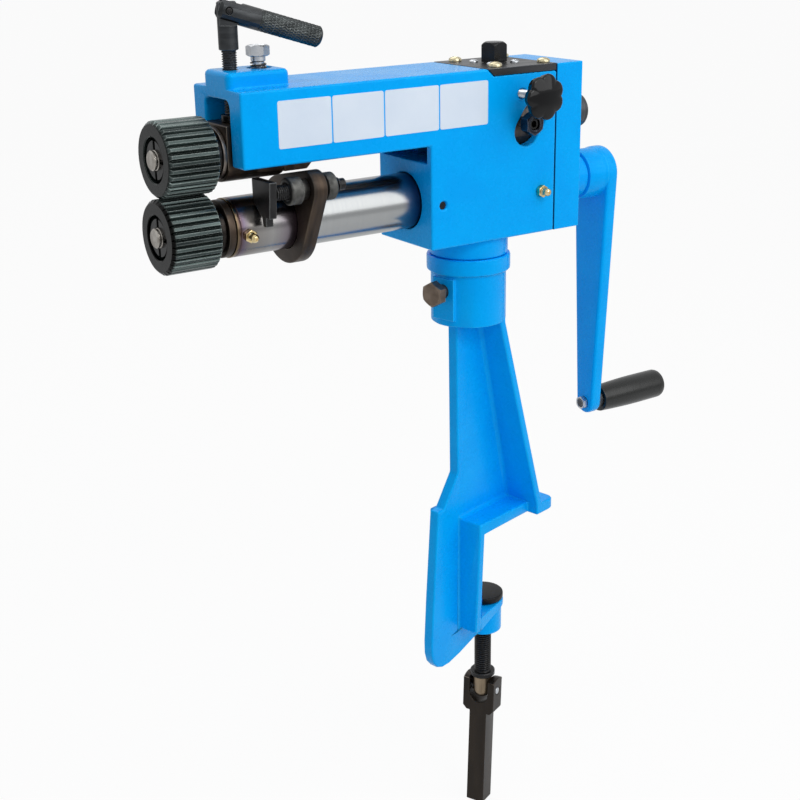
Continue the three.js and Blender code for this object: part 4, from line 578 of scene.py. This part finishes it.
plate_steel = finish("dark_plate_steel", (60, 61, 64), (40, 41, 44), (0.3, 0.46), metal=0.6,
                     grain=(18, 160, 160), fine=1200, relief=0.1, edge=(140, 146, 156))
yellow_zinc = finish("yellow_zinc", (220, 210, 176), (178, 168, 138), (0.16, 0.3), metal=1, grain=300,
                     fine=1600, relief=0.06, edge=(244, 226, 176), edge_width=0.0004)
cast("block_top_plate", ("head", "dark_plate", "top_plate"), "top_plate", plate_steel, 0.6)
for number, (x, y) in enumerate([(62.5, -24), (106.5, -24), (62.5, 24), (106.5, 24)], 1):
    pan_head(f"plate_pan_screw_{number}", ("head", "yellow_zinc", f"plate_screw_{number}"),
             HEAD @ shifted(x, y, 0, 20 * number), yellow_zinc, radius=4.8, height=3.2, shank=2.5, foot=79.0,
             base=head_top + 0.3, arm=2.4, wide=0.6, deep=1.4)
for number, (x, y) in enumerate([(69.4, 10.6), (90.6, -10.6), (69.4, -10.6), (90.6, 10.6)], 1):
    pan_head(f"gland_screw_{number}", ("head", "zinc_plate"), HEAD @ shifted(x, y, 0, 35 * number), zinc,
             radius=3.3, height=1.9, shank=1.3, foot=90.6, base=head_top + 0.05, arm=1.7, wide=0.4, deep=0.9)


# Rear cap: a grey turned plug over the access hole behind the upper shaft.
# Its spigot is a close fit in the cover, and its end is chamfered.
grey_steel = finish("grey_steel", (92, 95, 99), (66, 69, 73), (0.3, 0.44), metal=0.85, grain=(500, 20, 20),
                    fine=1100, relief=0.1, edge=(190, 194, 198))
cap_front, cap_seat, cap_end, cap_radius = 129.8, 136.6, 163.1, 12.6
cap_profile = [(cap_front, 0), (cap_front, 10), (cap_seat, 10), (cap_seat, cap_radius),
               (cap_end - 2, cap_radius), (cap_end, cap_radius - 2), (cap_end, 0)]
turned("access_hole_cap", ("head", "grey_steel", "rear_cap"), eased(cap_profile, 0.4), HEAD, grey_steel,
       at=(0, 0, shaft_spacing))


# Adjuster: a blackened square post that turns an eccentric pin in the sleeve below it.
# Its flange runs in a pocket under the top plate.
post_x, post_turn, eccentricity = 80, 12, 3
post_half, post_top = 6.9, 106
POST = HEAD @ shifted(post_x, 0, 0, post_turn)


def square(angle, along, radius):
    """A square with eased corners above the plate: the radius is held to half the width over the greater
    of cosine and sine."""
    flat = post_half / np.maximum(np.abs(np.cos(angle)), np.abs(np.sin(angle)))
    return np.where(along > head_top + 0.2, np.minimum(radius, flat), radius)


post_profile = [(76, 0), (76, 7.4), (81, 7.4), (81, 12), (85.8, 12), (86.2, 11.6), (86.2, 7.4), (91.5, 7.4),
                (91.7, 7.4), (91.7, 9.1)] + rows(92.2, 103.6, 9.3, 3)
post_profile += [(104.2, 8.9), (104.8, 8.3), (105.3, 7.7), (105.7, 7.1), (post_top, 6.5), (post_top, 0)]
turned("adjuster_square", ("adjuster", "black_oxide", "adjuster_post"), post_profile, POST, oxide, "z",
       section=square, sides=120, crease=24)
PIN = POST @ shifted(0, 0, 0, -post_turn) @ shifted(
    eccentricity * sin(radians(post_turn)), -eccentricity * cos(radians(post_turn)), 0)
turned("adjuster_pin", ("adjuster", "black_oxide"), [(74.1, 0), (74.1, 2.6), (74.5, 3), (76.5, 3), (76.5, 0)],
       PIN, oxide, "z")


# Lock knob: a glossy black moulded star on a bright threaded stud. It pulls the sleeve tight.
# The star has seven lobes, a rounded rim and a low domed face.
KNOB = HEAD @ shifted(post_x, 0, 72)
knob_rim, star_rear, star_face, knob_seat = 16.2, -52.5, -62.5, -47


def star(angle, along, radius):
    """Seven lobes: the radius is held back in the notches, fully at the rim and not at the middle."""
    notch = 2.1 * (1 - np.abs(np.sin(3.5 * angle))) ** 1.2
    reach = np.clip((radius - 8.5) / (knob_rim - 8.5), 0, 1)
    return radius - notch * reach * reach * (3 - 2 * reach)


black_plastic = finish("gloss_black_plastic", (6, 7, 9), (3, 3, 5), (0.05, 0.1), grain=60, fine=500,
                       relief=0.03, specular=0.3)
knob_profile = [(-56.8, 0), (-56.8, 3.3), (knob_seat, 3.3), (knob_seat, 7.6), (-47.6, 8.2), (-52.2, 8.2),
                (star_rear, 8.6), (star_rear, 12)]
knob_profile += [(star_rear - 3 * (1 - cos(a)), 12.2 + 3 * sin(a)) for a in np.linspace(0.1, pi / 2, 8)]
knob_profile += [(-57.8, knob_rim - 0.2)]
knob_profile += [(-58.6 - 1.9 * sin(a), knob_rim - 1.9 + 1.9 * cos(a)) for a in np.linspace(0, 1.2, 8)]
knob_profile += [(star_face + 1.9 * (r / 14.4) ** 2, r) for r in (14.4, 13.2, 11.6, 9.8, 7.8, 5.6, 3.0, 0)]
turned("star_knob", ("lock_knob", "gloss_black", "lock_knob"), knob_profile, KNOB, black_plastic, "y",
       section=star, sides=168)
stud_tip, stud_end = -22, -56.5
stud_profile = [(stud_tip, 0), (stud_tip, 2.6), (-22.4, 3)] + rows(-22.6, -56, 3, 0.125)
stud_profile += [(stud_end, 2.5), (stud_end, 0)]
turned("knob_stud", ("lock_knob", "zinc_plate", "lock_knob_stud"), stud_profile, KNOB, zinc, "y",
       section=thread(2.45, 3, 1, -56, -22.6), sides=40)


# Sleeve nut and stud: they clamp the adjusting sleeve through the slanted slot of the block.
# The stud has a hexagon socket in its end, to hold it while the nut is turned.
NUT = HEAD @ shifted(84.5, 0, shaft_spacing + 1)
nut_flats, nut_face, nut_seat, nut_bore = 14.5, -43.4, -34.8, 4.3
nut_profile = hex_head(nut_face, nut_seat, nut_flats, both=True)
nut_profile += [(nut_seat, 4.9), (-35.3, nut_bore), (-42.9, nut_bore), (nut_face, 4.9)]
nut_profile += nut_profile[:1]
nut_oxide = finish("nut_oxide", (52, 56, 66), (34, 37, 46), (0.16, 0.3), metal=0.8, grain=160, fine=1500,
                   relief=0.08, edge=(170, 178, 192))
turned("sleeve_hex_nut", ("sleeve", "black_oxide", "sleeve_nut"), nut_profile, NUT, nut_oxide, "y", sides=96,
       crease=HEX_CREASE, section=within_hexagon(nut_flats, nut_face, nut_seat))
stud_foot, stud_end, stud_socket = -25, -41.6, -37.6
stud_profile = [(stud_foot, 0), (stud_foot, 4)] + rows(-25.2, -41, 4, 0.15)
stud_profile += [(stud_end, 3.5), (stud_end, 2.6), (-41.3, 2.35), (stud_socket, 2.35), (stud_socket, 0)]


def one_after(first, second):
    """A section that holds the radius back by one section, and then by another."""
    return lambda angle, along, radius: second(angle, along, first(angle, along, radius))


stud_section = one_after(thread(3.4, 4, 1.25, -41.3, -25.2), within_hexagon(4, stud_socket, -41.3, bore=True))
turned("sleeve_clamp_stud", ("sleeve", "black_oxide", "sleeve_stud"), stud_profile, NUT, oxide, "y",
       section=stud_section)


# Solids whose shape is right as it is: the sleeve, the race, the bearing carrier, the pivot bush,
# the gears, the end nut and two lock screws. They are machined steel and bronze, mostly inside.
bronze = finish("bush_bronze", (170, 122, 72), (132, 92, 54), (0.24, 0.4), metal=1, grain=(400, 20, 20),
                relief=0.08, edge=(214, 176, 128), edge_width=0.0005)
gear_steel = finish("gear_steel", (118, 122, 126), (92, 95, 99), (0.28, 0.42), metal=1, grain=(400, 60, 60),
                    relief=0.1, edge=(186, 188, 190), edge_width=0.0005)
sleeve_steel = finish("sleeve_steel", (96, 88, 82), (62, 58, 56), (0.3, 0.48), metal=0.85,
                      grain=(300, 30, 30), fine=1200, edge=(160, 156, 150))
for material, kept in (
    (sleeve_steel, ("adjusting_sleeve", "bearing_race", "lower_bearing_carrier")),
    (bronze, ("pivot_bush",)),
    (gear_steel, ("upper_gear", "lower_gear")),
    (oxide, ("upper_end_nut", "tube_set_screw", "gauge_lock_screw")),
):
    for node in kept:
        for holder in nodes[node].material_slots:
            holder.material = material


# Upper bearing block: rides in the channel of the beam and holds the front of the upper shaft.
# The lift bolt hangs it from the boss, and a small spring under the bolt's head carries it up.
cast("bearing_block", ("upper_carrier", "brown_oxide", "upper_bearing_block"), "upper_bearing_block", brown,
     0.9)
bush_steel = finish("bush_steel", (160, 150, 140), (112, 104, 98), (0.22, 0.36), metal=0.9,
                    grain=(300, 20, 20), relief=0.08, edge=(190, 184, 176), edge_width=0.0005)
bush_profile = [(-151, shaft_bore), (-151, 17), (-148.3, 17), (-148.3, 13), (-120, 13), (-120, shaft_bore)]
turned("upper_bush", ("upper_carrier", "bronze", "upper_front_bush"), eased_ring(bush_profile, 0.5), HEAD,
       bush_steel, at=(0, 0, shaft_spacing), sides=128)
lift_x, lift_flats, lift_seat, lift_top, lift_shank = -113.7, 13.5, 109.3, 116.3, 3.9
LIFT = HEAD @ shifted(lift_x, 0, 0)
bolt_profile = [(62.3, 0), (62.3, 3.4), (62.8, lift_shank)] + rows(63, 104, lift_shank, 0.16)
bolt_profile += [(105.6, lift_shank), (106, 4.5), (106.4, 4.9), (lift_seat, 4.9), (lift_seat, 5.6)]
bolt_profile += hex_head(lift_top, lift_seat, lift_flats, both=True)[::-1]
bolt_profile += [(lift_top, 5.4), (116.0, 4.9), (116.0, 0)]
lift_head = within_hexagon(lift_flats, lift_seat, lift_top)
turned("lift_hex_bolt", ("upper_carrier", "zinc_plate", "lift_bolt"), bolt_profile, LIFT, zinc, "z",
       section=one_after(thread(3.3, lift_shank, 1.25, 63, 104), lift_head), crease=HEX_CREASE)


def coil(mean, wire, turns, low, high, around=12, per_turn=28):
    """Round wire along a helix: the middle line climbs evenly while it goes round, and each wire section
    is a circle in the plane of the outward line and the line across the wire."""
    steps = int(turns * per_turn) + 1
    angle = np.linspace(0, turns * 2 * pi, steps)
    height = np.linspace(low + wire, high - wire, steps)
    out = np.stack([np.cos(angle), np.sin(angle), np.zeros(steps)], 1)
    climb = (high - low - 2 * wire) / (turns * 2 * pi * mean)
    along = np.stack([-np.sin(angle), np.cos(angle), np.full(steps, climb)], 1)
    across = np.cross(along / np.linalg.norm(along, axis=1, keepdims=True), out)
    middle = out * mean + np.stack([np.zeros(steps), np.zeros(steps), height], 1)
    turn = np.linspace(0, 2 * pi, around + 1)
    radius = np.concatenate([[0], np.full(steps, wire), [0]])[:, None, None]
    middle, out, across = (np.concatenate([line[:1], line, line[-1:]]) for line in (middle, out, across))
    circle = np.cos(turn)[None, :, None] * out[:, None] + np.sin(turn)[None, :, None] * across[:, None]
    return middle[:, None] + radius * circle


spring_steel = finish("spring_steel", (86, 84, 82), (54, 52, 50), (0.2, 0.34), metal=1, grain=300, fine=1500,
                      relief=0.05, depth=0.0001)
wound = coil(mean=4.85, wire=0.55, turns=6.5, low=92.3, high=105.7)
spring = skin("lift_coil_spring", None, wound, LIFT, spring_steel)
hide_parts("lift_spring")
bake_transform(spring)


# Shafts: turned steel, blackened, each with a collar behind its roll and a reduced end for the
# ring nut. The lower one runs through to the crank.
roll_front = {"lower": -194, "upper": -192.4}
shaft_radius, collar_radius, end_radius = 10, 16.5, 6.6


def shaft_profile(roll_front, collar_front, collar_rear, rear, bore):
    """Steps of a shaft from its grooved front end to its rear end, with a bolt hole where there is one."""
    front = roll_front - 2
    steps = [(front, 0), (front, 5.7), (front + 0.8, 6.5), (front + 1.5, end_radius), (front + 1.9, 6.1),
             (front + 2.7, 6.1), (front + 3.1, end_radius), (roll_front + 9, end_radius),
             (roll_front + 9, shaft_radius), (collar_front, shaft_radius), (collar_front, 15.9),
             (collar_front + 0.6, collar_radius), (collar_rear - 0.6, collar_radius), (collar_rear, 15.9),
             (collar_rear, shaft_radius), (rear - 0.5, shaft_radius), (rear, 9.5)]
    return steps + ([(rear, 5.3), (rear - 20, 5.3), (rear - 20, 0)] if bore else [(rear, 0)])


shaft_steel = finish("shaft_end_steel", (186, 181, 174), (150, 144, 136), (0.2, 0.36), metal=1, grain=200,
                     relief=0.1, edge=(190, 188, 184), edge_width=0.0005)
tint_and_shade_along_x(shaft_steel, [(-0.2470, clear), (-0.2440, (235, 230, 224)), (-0.2420, (92, 90, 90)),
                        (-0.2100, (74, 72, 72)), (-0.0500, (190, 188, 186))])
turned("lower_drive_shaft", ("crank", "black_oxide", "lower_shaft"),
       shaft_profile(roll_front["lower"], collar_front=-157.7, collar_rear=-151.5, rear=186.8, bore=True),
       HEAD, shaft_steel)
turned("upper_driven_shaft", ("upper_shaft", "black_oxide", "upper_shaft"),
       shaft_profile(roll_front["upper"], collar_front=-156.1, collar_rear=-151.3, rear=112, bore=False),
       HEAD, shaft_steel, at=(0, 0, shaft_spacing))


# Rolls: blackened tool steel with 33 straight teeth, which feed and bead the sheet. A slotted
# ring nut in the recess of the front face holds each one on its shaft.
roll_teeth, roll_radius, roll_width, groove = 33, 24.85, 36, 2.5
roll_oxide = finish("roll_oxide", (76, 88, 86), (42, 50, 50), (0.18, 0.32), metal=0.8, grain=(30, 220, 220),
                    fine=1500, edge=(186, 194, 190), edge_share=0.8)
# The front face of each roll is darkened almost to black: painted shade on the face turned from the light.
tint_and_shade_along_x(roll_oxide, [(-0.2508, (30, 26, 24)), (-0.2493, (34, 29, 27)), (-0.2478, clear), (-0.2100, clear)])
tooth_marks = np.array([0, 0.1, 0.19, 0.25, 0.27, 0.3, 0.5, 0.7, 0.73, 0.75, 0.81, 0.9])
pitches = np.append((np.arange(roll_teeth)[:, None] + tooth_marks).ravel(), roll_teeth)
tooth_angles = pitches * 2 * pi / roll_teeth


def teeth(angle, along, radius):
    """Straight V grooves with flat lands between them: from the root at the start of each pitch the
    radius rises evenly to the land, and the arris of the land is eased."""
    phase = (angle * roll_teeth / (2 * pi)) % 1
    near = np.minimum(phase, 1 - phase)
    valley = groove * np.clip(1 - near / 0.27, 0, 1)
    arris = 0.1 * np.clip(1 - np.abs(near - 0.27) / 0.04, 0, 1)
    return np.where(radius > 20, np.minimum(radius, roll_radius - valley - arris), radius)


def roll_profile(front):
    """Front recess, chamfered front arris, toothed face, chamfered rear arris and bore."""
    rear = front + roll_width
    return [(front + 8, shaft_bore), (front + 8, 14.8), (front + 0.5, 14.8), (front, 15.3), (front, 22.5),
            (front + 0.2, 22.95), (front + 0.7, 23.45), (front + 1.2, 23.9), (front + 1.7, 24.35),
            (front + 2.2, roll_radius), (rear - 1.4, roll_radius), (rear - 1.0, 24.3), (rear - 0.5, 23.6),
            (rear, 22.9), (rear, 10.8), (rear - 0.5, shaft_bore), (front + 8, shaft_bore)]


for which, height, body in (("lower", 0, "crank"), ("upper", shaft_spacing, "upper_shaft")):
    turned(which + "_toothed_roll", (body, "roll_oxide", which + "_roll"), roll_profile(roll_front[which]),
           HEAD, roll_oxide, at=(0, 0, height), section=teeth, angles=tooth_angles, crease=22)
    cast(which + "_ring_nut", (body, "black_oxide", which + "_roll_nut"), which + "_roll_nut", oxide, 0.35)


# Crank: hub and tapered arm in one enamelled casting, a hexagon bolt with its washer, and a
# black moulded grip that turns on a plated spindle.
def eye_outline(first, first_radius, second, second_radius, count):
    """Outline round two circles with straight sides that touch both: in each direction the farther of the
    two circles' edge points is taken, and the points are then spaced evenly along the outline."""
    heading = np.linspace(0, 2 * pi, count * 8 + 1)[:-1]
    way = np.stack([np.cos(heading), np.sin(heading)], 1)
    first, second = np.array(first, float), np.array(second, float)
    farther = (way @ second + second_radius) > (way @ first + first_radius)
    hull = np.where(farther[:, None], second + way * second_radius, first + way * first_radius)
    closed = np.vstack([hull, hull[:1]])
    length = np.concatenate([[0], np.cumsum(np.linalg.norm(np.diff(closed, axis=0), axis=1))])
    places = np.linspace(0, length[-1], count + 1)
    return np.stack([np.interp(places, length, closed[:, axis]) for axis in (0, 1)], 1)


def eased_sides(start, end, ease, steps):
    """Pairs of inset and place across a plate's thickness: a quarter round on each of its two arrises."""
    quarter = np.linspace(0, pi / 2, steps)
    return ([(ease * (1 - sin(a)), start + ease * (1 - cos(a))) for a in quarter]
            + [(ease * (1 - cos(a)), end - ease * (1 - sin(a))) for a in quarter])


crank_length, arm_front, arm_rear = 193, 177.4, 188.1
grid = []
for inset, x in [(9.0, arm_front)] + eased_sides(arm_front, arm_rear, 2.4, 6) + [(9.0, arm_rear)]:
    outline = eye_outline((0, 0), 20 - inset, (0, -crank_length), 9.5 - inset, 160)
    grid.append(np.stack([np.full(len(outline), x), outline[:, 0], outline[:, 1]], 1))
middle = np.tile([arm_front, 0, -crank_length / 2], (len(grid[0]), 1))
grid = [middle] + grid + [middle + np.array([arm_rear - arm_front, 0, 0])]
skin("crank_lever", ("crank", "blue_paint", "crank_arm"), np.stack(grid), HEAD, enamel)
hub_front, hub_rear = 160, 178.6
hub_profile = [(hub_front, shaft_bore), (hub_front, 18.2), (160.3, 18.9), (161, 19.2), (175.4, 19.2),
               (176.2, 19.3), (177, 19.6), (hub_rear, 19.9), (hub_rear, shaft_bore), (hub_front, shaft_bore)]
turned("crank_hub", ("crank", "blue_paint"), hub_profile, HEAD, enamel, sides=128)
bolt_tip, washer_seat, bolt_seat, bolt_top, bolt_flats = 167.1, 188.4, 190.4, 196.9, 17
bolt_profile = [(bolt_tip, 0), (bolt_tip, 5), (washer_seat, 5), (washer_seat, 12.6), (188.8, 13), (190.0, 13),
                (bolt_seat, 12.6), (bolt_seat, 9.9)]
bolt_profile += hex_head(bolt_top, bolt_seat, bolt_flats)[::-1] + [(bolt_top, 0)]
turned("crank_hex_bolt", ("crank", "zinc_plate", "crank_bolt"), bolt_profile, HEAD, zinc, crease=HEX_CREASE,
       section=within_hexagon(bolt_flats, bolt_seat, bolt_top))
GRIP = HEAD @ shifted(0, 0, -crank_length)
spindle_profile = [(172.8, 0), (172.8, 2.9), (173.2, 3.3), (arm_front, 3.3), (arm_front, 5), (188.4, 5),
                   (188.4, 7.6), (188.8, 8), (191.9, 8), (192.3, 7.6), (192.3, 5), (246.9, 5), (247.3, 4.6),
                   (247.3, 0)]
turned("grip_pin", ("crank", "zinc_plate", "grip_spindle"), spindle_profile, GRIP, grey_steel)
nut_flats, nut_front, nut_rear = 9.6, 173.1, 177.1
nut_profile = hex_head(nut_front, nut_rear, nut_flats, both=True)
nut_profile += [(nut_rear, 3.9), (176.8, 3.6), (173.4, 3.6), (nut_front, 3.9)]
nut_profile += nut_profile[:1]
turned("grip_pin_nut", ("crank", "zinc_plate", "spindle_nut"), nut_profile, GRIP, zinc, crease=HEX_CREASE,
       section=within_hexagon(nut_flats, nut_front, nut_rear))
satin_plastic = finish("satin_black_plastic", (20, 22, 21), (12, 14, 13), (0.2, 0.34), grain=70, fine=500,
                       relief=0.3, depth=0.0005, edge=(50, 52, 50), edge_width=0.0008)
grip_root, grip_end, grip_bore = 192.6, 260.4, 5.3
grip_profile = [(grip_root, grip_bore), (grip_root, 10.2), (193.0, 10.8), (193.6, 11.0)]
grip_profile += [(194 + 63 * s, 11 + 1.2 * sin(pi * min(s / 0.6, 1 + (s - 0.6) / 1.2) / 2))
                 for s in np.linspace(0, 1, 24)]
grip_profile += [(grip_end - 3 + 3 * sin(a), 8.8 + 3 * cos(a)) for a in np.linspace(0, pi / 2, 9)]
grip_profile += [(grip_end, 0), (247.6, 0), (247.6, grip_bore), (grip_root, grip_bore)]
turned("crank_grip", ("grip", "satin_black", "grip"), grip_profile, GRIP, satin_plastic, sides=128)


# Gauge: a brown oxide bracket slides on the tube and is locked by a screw. The fence hangs on a
# threaded rod, set and held by two knurled nuts.
rod_y, rod_z, eye_radius, boss_radius = -32.7, 25.6, 12, 30.3
bracket_front, bracket_rear, bracket_bore = -101, -90.6, 20.36
outer = eye_outline((0, 0), boss_radius, (rod_y, rod_z), eye_radius, 144)
bearing = np.arctan2(outer[:, 1], outer[:, 0])


def bore_ring(radius, x):
    """Points round the bore, each on the ray through its neighbour on the outline."""
    return np.stack([np.full(len(bearing), x), radius * np.cos(bearing), radius * np.sin(bearing)], 1)


grid = [bore_ring(bracket_bore, bracket_front + 0.3), bore_ring(bracket_bore + 0.3, bracket_front)]
for inset, x in eased_sides(bracket_front, bracket_rear, 0.9, 4):
    outline = eye_outline((0, 0), boss_radius - inset, (rod_y, rod_z), eye_radius - inset, 144)
    grid.append(np.stack([np.full(len(outline), x), outline[:, 0], outline[:, 1]], 1))
grid += [bore_ring(bracket_bore + 0.3, bracket_rear), bore_ring(bracket_bore, bracket_rear - 0.3), grid[0]]
skin("gauge_arm", ("gauge_bracket", "brown_oxide", "gauge_bracket"), np.stack(grid), HEAD, brown)
worn_oxide = finish("worn_oxide", (44, 44, 45), (26, 26, 27), (0.24, 0.4), metal=0.6, grain=90, relief=0.16,
                    edge=(158, 160, 160), edge_width=0.0009, edge_share=0.8)
cast("fence_blade", ("fence", "black_oxide", "fence_plate"), "fence_plate", worn_oxide, 0.5)
ROD = HEAD @ shifted(0, rod_y, rod_z)
rod_front, rod_rear, rod_radius = -124.2, -71.6, 5
rod_profile = [(rod_front, 0), (rod_front, rod_radius)] + rows(-124, -76.6, rod_radius, 0.18)
rod_profile += [(-76, 4.4), (-76, 4), (-72, 4), (rod_rear, 3.6), (rod_rear, 0)]
turned("fence_screw_rod", ("fence", "black_oxide", "fence_rod"), rod_profile, ROD, oxide, sides=48,
       section=thread(4.15, rod_radius, 1.5, -124.1, -76.5))
knurled_steel = finish("knurled_steel", (96, 96, 93), (54, 54, 53), (0.28, 0.42), metal=0.85, grain=200,
                       fine=1500, relief=0.15, edge=(190, 192, 190), edge_width=0.0004)


def crossed(angle, along, count, climb):
    """Diamond knurling: 0 in the grooves of two crossing sets of helical waves, and 1 on the points."""
    first, second = np.sin(count * angle + along * climb), np.sin(count * angle - along * climb)
    return np.minimum(np.abs(first), np.abs(second)) ** 0.7


def nut_knurl(angle, along, radius):
    """The rim of a gauge nut dips in the grooves of the knurling."""
    return np.where(radius > 9.2, radius - 0.45 * (1 - crossed(angle, along, 20, 2.1)), radius)


for name, seat, outward, length, collar, node in (
    ("front_knurled_nut", -101.3, -1, 9.1, 5.0, "front_gauge_nut"),
    ("rear_knurled_nut", -90.3, 1, 7.6, 2.3, "rear_gauge_nut"),
):
    steps = [(0, 5.3), (0, 6.6), (0.4, 7), (collar, 7), (collar, 8.3), (collar + 0.7, 9.3)]
    steps += rows(collar + 0.9, collar + length - 1.1, 9.3, 0.25)
    steps += [(collar + length - 0.9, 9.3), (collar + length, 8.2), (collar + length, 5.7),
              (collar + length - 0.4, 5.3), (0, 5.3)]
    profile = [(seat + outward * along, radius) for along, radius in steps]
    turned(name, (node, "knurled_steel", node), profile, ROD, knurled_steel, section=nut_knurl, sides=240,
           crease=60)


# Press screw: it sets the upper roll down on the sheet. Its foot rests on the bearing block,
# its shank ends in a flat tongue, and a knurled bar folds on a pin through the tongue.
press_x, press_turn, foot_rest, foot_top = -134.5, -12, 69.3, 73.8
PRESS = HEAD @ shifted(press_x, 0, 0, press_turn)
foot_profile = [(foot_rest, 0), (foot_rest, 7.1), (69.7, 7.5), (73.4, 7.5), (foot_top, 7.1), (foot_top, 3.3),
                (71.0, 3.3), (71.0, 0)]
turned("press_screw_foot", ("press_foot", "black_oxide", "press_foot"), foot_profile, PRESS, oxide, "z")
press_steel = finish("press_screw_steel", (66, 68, 70), (46, 48, 50), (0.28, 0.44), metal=0.85,
                     grain=(60, 60, 300), fine=1400, edge=(140, 142, 144), edge_width=0.0005)
thread_crest, shank_radius, tongue_foot, tongue_top, tongue_half = 5, 6.4, 129.6, 144.4, 2.7
screw_profile = [(71.3, 0), (71.3, 3), (74.1, 3), (74.1, 4.4)] + rows(74.6, 113.6, thread_crest, 0.16)
screw_profile += [(114.0, 4.5), (114.4, 4.5), (114.4, 5.9), (114.9, shank_radius),
                  (tongue_foot - 0.05, shank_radius), (tongue_foot, shank_radius), (143.6, shank_radius),
                  (tongue_top, 5.6), (tongue_top, 0)]


def press_section(angle, along, radius):
    """Thread below the shank, and above it the shank is milled flat on both sides."""
    threaded = thread(4.15, thread_crest, 1.5, 74.6, 113.8)(angle, along, radius)
    flat = tongue_half / np.maximum(np.abs(np.sin(angle)), 1e-3)
    return np.where(along > tongue_foot - 0.02, np.minimum(threaded, flat), threaded)


turned("press_spindle", ("press_screw", "black_oxide", "press_screw"), screw_profile, PRESS, press_steel, "z",
       section=press_section)
hinge_height, bar_droop = 138.75, 17.5
PRESS_FOLD = PRESS @ shifted(0, 0, hinge_height, turn_about_y=bar_droop)
fold_turn, fold_place = PRESS_FOLD[:3, :3], PRESS_FOLD[:3, 3]
bar_radius, neck_end, bar_end = 7, 22, 65
cut_place = fold_turn @ np.array([neck_end, 0, 0]) + fold_place
cast("press_bar_fork", ("press_handle", "black_oxide", "press_handle"), "press_handle", press_steel, 0.6,
     below=(tuple(cut_place / 1000), tuple(fold_turn @ np.array([1.0, 0, 0]))))


def bar_knurl(angle, along, radius):
    """The bar dips in the grooves of coarse knurling, which fades in behind the smooth neck."""
    fade = np.clip((along - 22.6) / 1.2, 0, 1) * np.clip((63 - along) / 0.8, 0, 1)
    return radius - np.where(radius > 6.6, 0.5 * fade * (1 - crossed(angle, along, 12, 0.62)), 0)


bar_steel = finish("knurled_bar_steel", (72, 76, 76), (42, 45, 46), (0.2, 0.36), metal=0.9,
                   grain=(60, 200, 200), fine=1400, edge=(196, 202, 202), edge_width=0.0005, edge_share=0.8)
bar_profile = [(21.6, 0), (21.6, 6.5), (22.1, bar_radius)] + rows(22.4, 63, bar_radius, 0.42)
bar_profile += [(63.4, 6.75), (64.2, 5.9), (64.8, 5.2), (bar_end, 4.8), (bar_end, 0)]
turned("press_knurled_bar", ("press_handle", "black_oxide"), bar_profile, PRESS_FOLD, bar_steel,
       section=bar_knurl, sides=168, crease=60)
pin_profile = eased([(-7, 0), (-7, 2), (7, 2), (7, 0)], 0.5)
turned("press_fold_pin", ("press_handle", "black_oxide", "press_handle_pin"), pin_profile, PRESS_FOLD, oxide,
       "y")


# Panels on the side of the beam: four plain pale foil panels with rounded corners, left blank.
# They are glued to the enamel.
foil = finish("blank_panel_foil", (220, 230, 242), (210, 222, 237), (0.3, 0.42), grain=20, fine=300,
              relief=0.05, specular=0.3)
panel_foot, panel_top, panel_back, panel_face, corner, ease = 53.5, 84, -33.2, -33.55, 1.6, 0.1


def panel_grid(start, end):
    """Thin plate with rounded corners: the outline is a rectangle grown by a circle, and the rows of the
    grid run from the middle of the back over the rim to the middle of the front, eased at the front."""
    angle = np.linspace(0, 2 * pi, 49)
    half = np.array([(end - start) / 2, (panel_top - panel_foot) / 2])
    heading = np.stack([np.cos(angle), np.sin(angle)], 1)
    outline = np.sign(np.round(heading, 6)) * (half - corner) + heading * corner
    layers = [(0, panel_back), (1, panel_back), (1, panel_face + ease), (1 - ease / half.min(), panel_face),
              (0, panel_face)]
    middle = [(start + end) / 2, (panel_foot + panel_top) / 2]
    rings = [(middle + outline * share, y) for share, y in layers]
    return np.stack([np.stack([ring[:, 0], np.full(len(ring), y), ring[:, 1]], 1) for ring, y in rings])


for number, ends in enumerate([(-119.5, -79.6), (-78.6, -38.6), (-37.6, 6.6), (7.6, 49)], 1):
    skin(f"blank_panel_{number}", ("head", None), panel_grid(*ends), HEAD, foil, crease=20)
